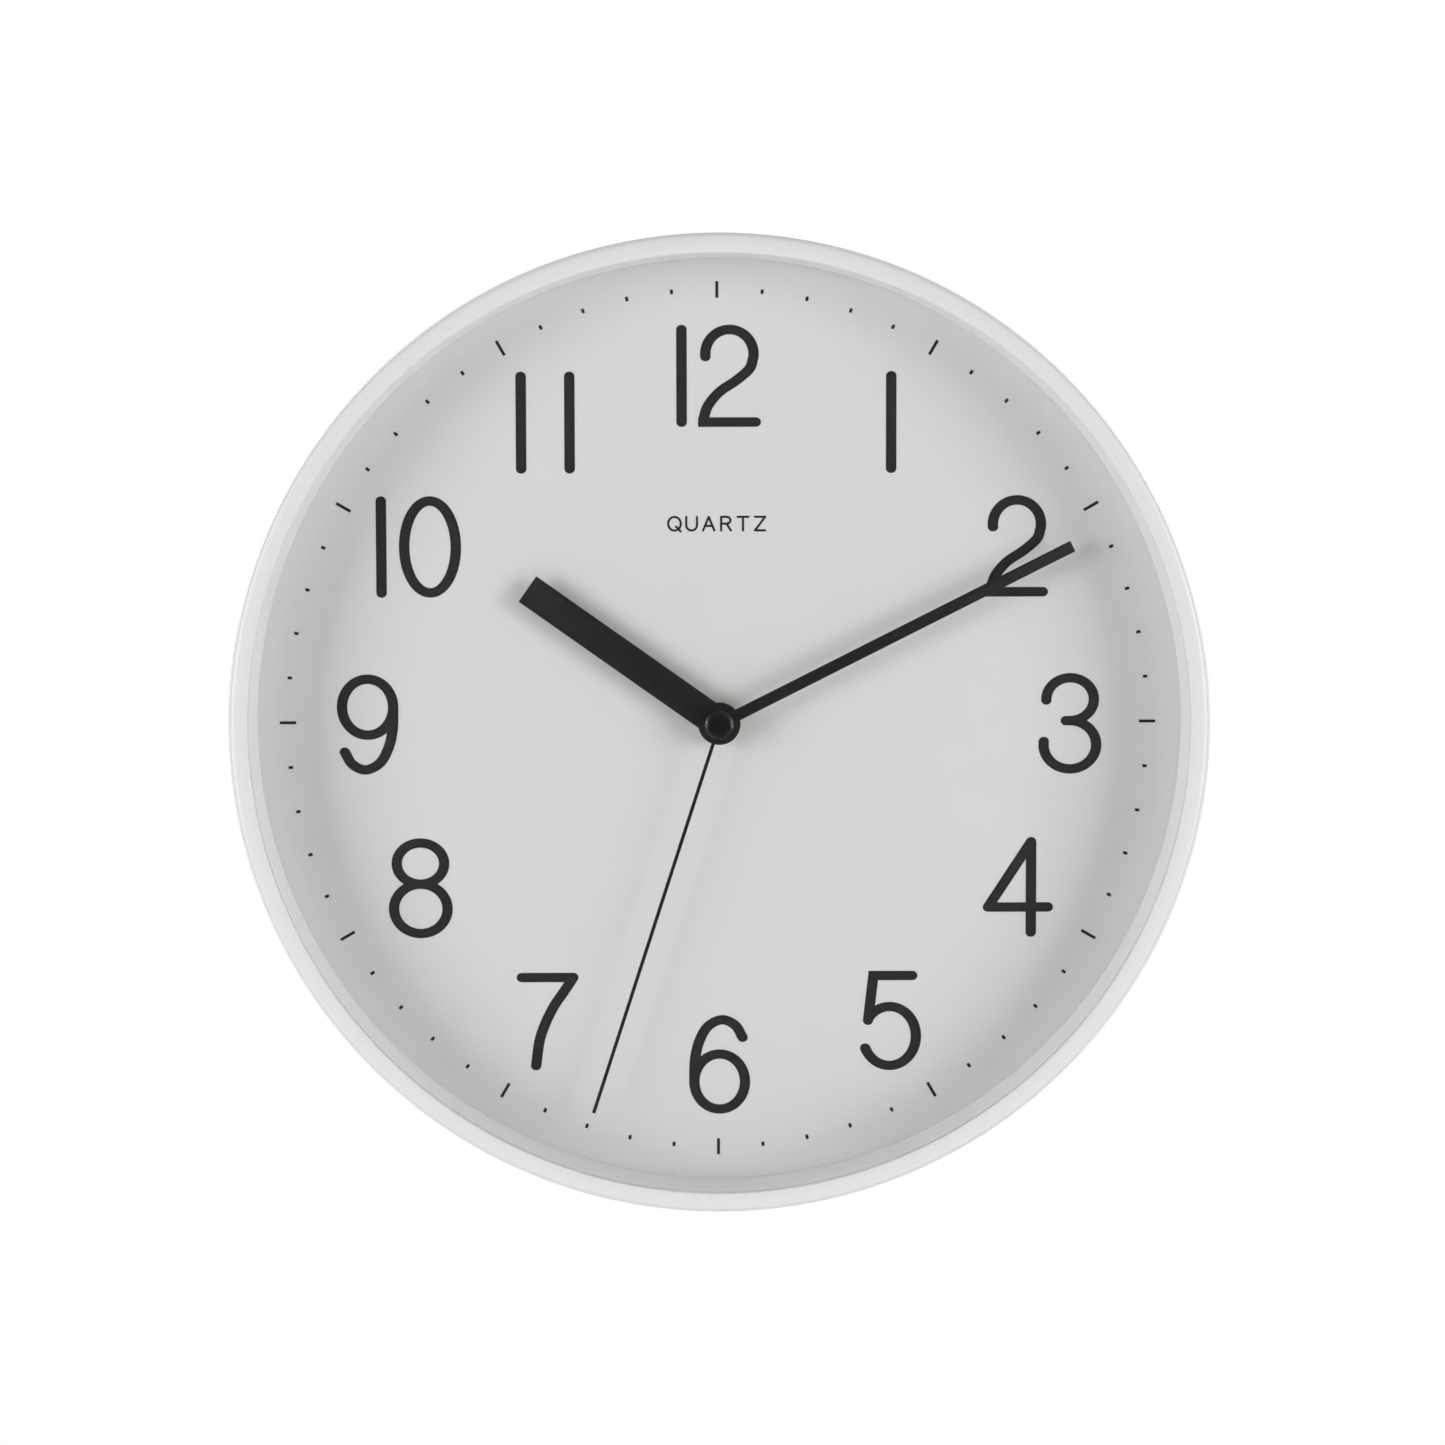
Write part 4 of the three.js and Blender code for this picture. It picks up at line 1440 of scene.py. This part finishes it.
@dataclass
class Hands:
    """The three hands, their collets and the cap of the second hand, at the time shown."""

    wardrobe: Wardrobe
    hour: int = 10
    minute: int = 10
    second: int = 33

    def build(self) -> None:
        """Makes every piece of the hands."""
        for shape in self._shapes():
            shell = Shell()
            shell.add(*shape.shell())
            if shape.sleeve:
                shell.add(*self._collet(shape))
            piece = shell.piece(shape.piece, 40)
            self.wardrobe.dress(piece, Slot.HAND)
            settle(piece, shape.body, shape.node)
        self._cap()

    def _shapes(self) -> list[HandShape]:
        """The hands' sizes, and their angles from 12 at the time shown.

        Returns:
            The hour, minute and second hand.
        """
        minutes = self.minute + self.second / 60
        second_box = NodeBox.of("second_hand")
        return [
            HandShape(
                "hour_hand_bar", "hour_hand", "hour_train",
                length=72.5, width=9.6, boss=6.6, hole=2.7,
                clockwise=(self.hour + minutes / 60) * 30, thickness=0.8, sleeve=3.9,
            ),
            HandShape(
                "minute_hand_bar", "minute_hand", "minute_train",
                length=122.0, width=3.6, boss=4.2, hole=1.55,
                clockwise=minutes * 6, thickness=0.7, sleeve=2.6,
            ),
            HandShape(
                "second_hand_bar", "second_hand", "second_train",
                length=127.4, width=1.1, boss=3.2, hole=1.35,
                clockwise=self.second * 6, thickness=second_box.front - second_box.back, edge=0.08,
            ),
        ]

    def _collet(self, shape: HandShape) -> tuple[Array, list[list[int]]]:
        """The sleeve behind a hand that grips its tube, as a turned ring with soft edges.

        Args:
            shape: the hand.

        Returns:
            The ring's points and faces.
        """
        back, front = NodeBox.of(shape.node).back, shape.back - 0.02
        profile = rounded_profile(
            [
                (shape.hole, back, 0.1),
                (shape.sleeve, back, 0.15),
                (shape.sleeve, front, 0.0),
                (shape.hole, front, 0.0),
            ]
        )
        return turned_shell(profile, 72)

    def _cap(self) -> None:
        """The cap: a turned button with a soft edge, a shallow dished top and a stem with a bore."""
        box = NodeBox.of("second_hand_cap")
        arbor_top = NodeBox.of("second_wheel").front
        seat = NodeBox.of("second_hand").front + 0.1
        stem, bore, radius, top = 1.25, 0.6, box.radius, box.front
        outer = rounded_profile(
            [
                (0.05, arbor_top + 0.2, 0.0),
                (bore, arbor_top + 0.2, 0.0),
                (bore, box.back, 0.08),
                (stem, box.back, 0.1),
                (stem, seat, 0.0),
                (radius, seat, 0.15),
                (radius, top - 0.5, 0.12),
                (radius - 0.85, top - 0.05, 0.12),
                (radius - 1.1, top, 0.08),
                (radius - 1.3, top - 0.08, 0.05),
                (0.05, top - 0.08, 0.0),
            ],
            steps=8,
        )
        shell = Shell()
        shell.add(*turned_solid(outer, 96))
        piece = shell.piece("second_hand_button", 38)
        self.wardrobe.dress(piece, Slot.CAP)
        settle(piece, "second_train", "second_hand_cap")


# ---- Back ----


@dataclass
class BatteryCell:
    """The dry cell in its bay, turned about its own long axis, and the spring at its flat end."""

    wardrobe: Wardrobe
    wire: float = 0.28
    turns: float = 2.25

    def build(self) -> None:
        """Makes the cell and the spring."""
        self._cell()
        self._spring()

    def _cell(self) -> None:
        """The cell: a profile of (along, radius) with a grooved negative end, a crimped shoulder and a
        button, turned about the cell's own axis."""
        box = NodeBox.of("aa_battery")
        radius = (box.high - box.low) / 2
        middle = ((box.low + box.high) / 2, (box.back + box.front) / 2)
        along = rounded_profile(
            [
                (box.left, 0.05, 0.0),
                (box.left, 5.2, 0.3),
                (box.left + 0.45, 5.5, 0.2),
                (box.left + 0.45, 6.2, 0.2),
                (box.left + 0.1, 6.5, 0.2),
                (box.left + 0.1, radius, 0.5),
                (box.right - 1.6, radius, 0.5),
                (box.right - 1.6, radius - 1.1, 0.3),
                (box.right - 1.25, radius - 1.5, 0.2),
                (box.right - 1.25, 3.1, 0.3),
                (box.right - 0.9, 2.75, 0.2),
                (box.right, 2.7, 0.45),
                (box.right, 0.05, 0.0),
            ]
        )
        points, faces = turned_solid(along[:, ::-1], 96)
        across, deep, lengthwise = points[..., 0], points[..., 1], points[..., 2]
        laid = np.stack([lengthwise, across + middle[0], deep + middle[1]], axis=-1)
        shell = Shell()
        shell.add(laid, faces)
        piece = shell.piece("battery_cell", 40)
        self.wardrobe.dress(piece, Slot.CELL)
        settle(piece, "battery", "aa_battery")

    def _spring(self) -> None:
        """The negative contact: a strip with soft edges and a flat cone of wire. The wire's middle goes
        round at a radius that shrinks evenly with the turn while it rises from the strip to the cell."""
        box = NodeBox.of("negative_contact")
        y, z = (box.low + box.high) / 2, (box.back + box.front) / 2
        shell = Shell()
        outline = rounded_profile(
            [
                (box.low, box.back, 1.0),
                (box.high, box.back, 1.0),
                (box.high, box.front, 1.0),
                (box.low, box.front, 1.0),
            ]
        )
        sides = [box.left + 0.02, box.left + 0.34]
        strip = [np.column_stack([np.full(len(outline), x), outline]) for x in sides]
        shell.add(*lofted(np.stack(strip)))
        t = np.linspace(0, 1, 140)[:, None]
        turn = t * self.turns * TAU
        start, end = box.left + 0.34 + self.wire * 0.9, box.right - self.wire
        out = 3.7 - 2.1 * t
        middle = np.hstack([start + (end - start) * t, y + out * np.cos(turn), z + out * np.sin(turn)])
        around = np.linspace(0, TAU, 10, endpoint=False)[None, :]
        outward = np.hstack([np.zeros_like(t), np.cos(turn), np.sin(turn)])[:, None, :]
        axis = np.array([1.0, 0.0, 0.0])[None, None, :]
        section = np.cos(around)[..., None] * outward + np.sin(around)[..., None] * axis
        shell.add(*lofted(middle[:, None, :] + self.wire * section))
        piece = shell.piece("negative_spring", 40)
        self.wardrobe.dress(piece, Slot.SPRING)
        settle(piece, "case", "negative_contact")


@dataclass
class MovementTrim:
    """The raised detail on the movement's rear face and its side hooks."""

    wardrobe: Wardrobe
    face: float = 2.4
    proud: float = 0.35

    def build(self) -> None:
        """Makes the marks, the hooks and the knob's grip."""
        self._beads()
        self._marks()
        self._hooks()
        self._grip()

    def _beads(self) -> None:
        """The moulded bead round the face, a ring round each bearing and round the knob's well."""
        shell = Shell()
        pen = Pen(0.3, self.face - self.proud, self.face + 0.05)
        edge = 26.2
        low, corner = -8.6, 2.0
        corners = [(-edge, low), (edge, low), (edge, edge), (-edge, edge)]
        bead = rounded_profile([(x, y, corner) for x, y in corners])
        pen.lay(shell, Stroke(bead, closed=True), (0.0, 0.0))
        rings = {"rotor_pinion": 1.4, "intermediate_wheel": 1.4, "third_wheel": 1.4, "second_wheel": 1.8}
        for node, radius in {**rings, "setting_knob": 5.9}.items():
            box = NodeBox.of(node)
            place = ((box.left + box.right) / 2, (box.low + box.high) / 2)
            pen.lay(shell, Stroke.ring(radius, radius, 48), place)
        piece = shell.piece("movement_beads", 40)
        self.wardrobe.dress(piece, Slot.MOVEMENT)
        settle(piece, "case")

    def _marks(self) -> None:
        """The printed polarity signs and turning arrows."""
        shell = Shell()
        back, front = self.face - 0.06, self.face + 0.05
        bold = Pen(0.4, back, front)
        aside, height, reach = 23.0, -5.4, 1.5
        for x in (-aside, aside):
            bold.lay(shell, Stroke.line((-reach, 0.0), (reach, 0.0)), (x, height))
        upright = Pen(0.4, back - 0.01, front)
        upright.lay(shell, Stroke.line((0.0, -reach), (0.0, reach)), (aside, height))
        knob = NodeBox.of("setting_knob")
        centre = ((knob.left + knob.right) / 2, (knob.low + knob.high) / 2)
        for start in (20, 200):
            sweep = arc((0, 0), (7.6, 7.6), start, start + 110, 40)
            tip, near = sweep[-1], sweep[-7]
            back_way = (near - tip) / np.linalg.norm(near - tip)
            across = np.array([-back_way[1], back_way[0]])
            bold.lay(shell, Stroke(sweep), centre)
            for side in (-1, 1):
                barb = np.stack([tip, tip + 1.7 * back_way + side * 1.1 * across])
                Pen(0.36, back - 0.015 + 0.005 * side, front).lay(shell, Stroke(barb), centre)
        piece = shell.piece("movement_marks", 40)
        self.wardrobe.dress(piece, Slot.GEAR, self.wardrobe.pad_print)
        settle(piece, "case")

    def _hooks(self) -> None:
        """Four snap hooks that hold the movement's halves together: a ramped section carried along Y."""
        side = NodeBox.of("movement_rear_case").right
        section = rounded_profile(
            [
                (side - 0.1, 5.4, 0.0),
                (side + 0.75, 5.4, 0.25),
                (side + 0.75, 11.2, 0.2),
                (side + 1.3, 11.8, 0.2),
                (side + 1.3, 12.6, 0.2),
                (side - 0.1, 15.2, 0.0),
            ]
        )
        shell = Shell()
        for sign in (-1, 1):
            for low, high in ((9.0, 15.0), (-24.0, -18.0)):
                rings = [
                    np.column_stack([sign * section[:, 0], np.full(len(section), y), section[:, 1]])
                    for y in (low, high)
                ]
                shell.add(*lofted(np.stack(rings)))
        piece = shell.piece("movement_hooks", 35)
        self.wardrobe.dress(piece, Slot.MOVEMENT)
        settle(piece, "case")

    def _grip(self) -> None:
        """The knob's raised ring and finger bar."""
        box = NodeBox.of("setting_knob")
        centre = ((box.left + box.right) / 2, (box.low + box.high) / 2)
        shell = Shell()
        back, front = box.back - 0.3, box.back + 0.05
        Pen(0.3, back, front).lay(shell, Stroke.ring(3.7, 3.7, 60), centre)
        Pen(0.55, back + 0.02, front).lay(shell, Stroke.line((-1.9, 0.0), (1.9, 0.0)), centre)
        piece = shell.piece("knob_grip", 35)
        self.wardrobe.dress(piece, Slot.GEAR)
        settle(piece, "knob")


# ---- Studio ----


@dataclass
class Studio:
    """A pale floor, two side softboxes, a soft rear fill, an even white surround and the camera."""

    lens: float = 85.14
    distance: float = 1.0604
    right: float = -0.0018
    up: float = 0.0811
    aim: tuple[float, float] = (0.001, 0.0)
    roll_degrees: float = -0.11
    floor_height: float = -0.9
    floor_radius: float = 2.2

    def build(self) -> None:
        """Makes the whole studio."""
        self._camera()
        self._floor()
        self._surround()
        for side, hand in ((-1, "left"), (1, "right")):
            self._softbox(f"softbox_{hand}", (1.575 * side, -1.06, 0.08), 0.85, 1.1, 18.2)
            self._softbox(f"rear_{hand}", (1.4 * side, 1.3, 0.75), 1.2, 1.2, 13.0)

    def _camera(self) -> None:
        """The camera: in front of the dial and a little above its middle."""
        dial = -NodeBox.of("dial_plate").front * MM
        place = Vector((self.right, dial - self.distance, self.up))
        target = Vector((self.aim[0], dial, self.aim[1]))
        data = bpy.data.cameras.new("camera")
        data.lens = self.lens
        data.sensor_width = 36.0
        data.dof.use_dof = False
        camera = bpy.data.objects.new("camera", data)
        bpy.context.scene.collection.objects.link(camera)
        camera.location = place
        facing = (target - place).to_track_quat("-Z", "Y").to_matrix()
        roll = Matrix.Rotation(math.radians(self.roll_degrees), 3, "Z")
        camera.rotation_euler = (facing @ roll).to_euler()
        bpy.context.scene.camera = camera

    def _floor(self) -> None:
        """The floor: a thin pale disc well below the clock, as a closed shell."""
        steps = 64
        angle = np.linspace(0, TAU, steps, endpoint=False)
        rim = np.stack([np.cos(angle), np.sin(angle)], axis=-1) * self.floor_radius
        rings = [np.column_stack([rim, np.full(steps, h)]) for h in (self.floor_height - 0.01, self.floor_height)]
        faces = grid_quads(2, steps, False, True).tolist()
        faces += [list(range(steps))[::-1], list(range(steps, 2 * steps))]
        mesh = bpy.data.meshes.new("floor")
        mesh.from_pydata(np.vstack(rings).tolist(), [], faces)
        floor = bpy.data.objects.new("floor", mesh)
        bpy.context.scene.collection.objects.link(floor)
        g = Graph("pale_floor")
        colour = g.mix(g.noise(300.0, 2.0), (0.8, 0.8, 0.8), (0.84, 0.84, 0.84))
        mesh.materials.append(g.finish(g.principled({"Base Color": colour, "Roughness": 0.7})))

    def _surround(self) -> None:
        """The surround: plain white where the camera sees it, and a softer white as light."""
        world = bpy.data.worlds.new("surround")
        bpy.context.scene.world = world
        world.use_nodes = True
        tree = world.node_tree
        tree.nodes.clear()
        seen = tree.nodes.new("ShaderNodeBackground")
        lit = tree.nodes.new("ShaderNodeBackground")
        choose = tree.nodes.new("ShaderNodeMixShader")
        out = tree.nodes.new("ShaderNodeOutputWorld")
        path = tree.nodes.new("ShaderNodeLightPath")
        seen.inputs["Strength"].default_value = 1.0
        seen.inputs["Color"].default_value = (1.0, 1.0, 1.0, 1.0)
        lit.inputs["Color"].default_value = (1.0, 1.0, 1.0, 1.0)
        where = tree.nodes.new("ShaderNodeTexCoord")
        part = tree.nodes.new("ShaderNodeSeparateXYZ")
        level = tree.nodes.new("ShaderNodeMapRange")
        for name, value in (("From Min", -0.98), ("From Max", -0.8), ("To Min", 0.05), ("To Max", 0.44)):
            level.inputs[name].default_value = value
        tree.links.new(where.outputs["Generated"], part.inputs[0])
        tree.links.new(part.outputs["Y"], level.inputs["Value"])
        tree.links.new(level.outputs["Result"], lit.inputs["Strength"])
        tree.links.new(path.outputs["Is Camera Ray"], choose.inputs[0])
        tree.links.new(lit.outputs[0], choose.inputs[1])
        tree.links.new(seen.outputs[0], choose.inputs[2])
        tree.links.new(choose.outputs[0], out.inputs["Surface"])
        bpy.context.scene.view_settings.view_transform = "Standard"

    def _softbox(
        self,
        name: str,
        place: tuple[float, float, float],
        width: float,
        height: float,
        watts: float,
    ) -> None:
        """A rectangular lamp that faces the clock.

        Args:
            name: its name.
            place: where its middle stands.
            width: its width in metres.
            height: its height in metres.
            watts: its power.
        """
        data = bpy.data.lights.new(name, "AREA")
        data.shape = "RECTANGLE"
        data.size = width
        data.size_y = height
        data.energy = watts
        lamp = bpy.data.objects.new(name, data)
        bpy.context.scene.collection.objects.link(lamp)
        lamp.location = place
        lamp.rotation_euler = (Vector((0, 0, 0)) - Vector(place)).to_track_quat("-Z", "Y").to_euler()


def main() -> None:
    """Builds the studio and every part of the clock in order."""
    logging.basicConfig(level=logging.INFO, format="%(name)s: %(message)s")
    Studio().build()
    wardrobe = Wardrobe()
    wardrobe.dress_nodes()
    Case(wardrobe).build()
    DialPrint(wardrobe).build()
    Hands(wardrobe).build()
    BatteryCell(wardrobe).build()
    MovementTrim(wardrobe).build()


if __name__ == "__main__":
    main()
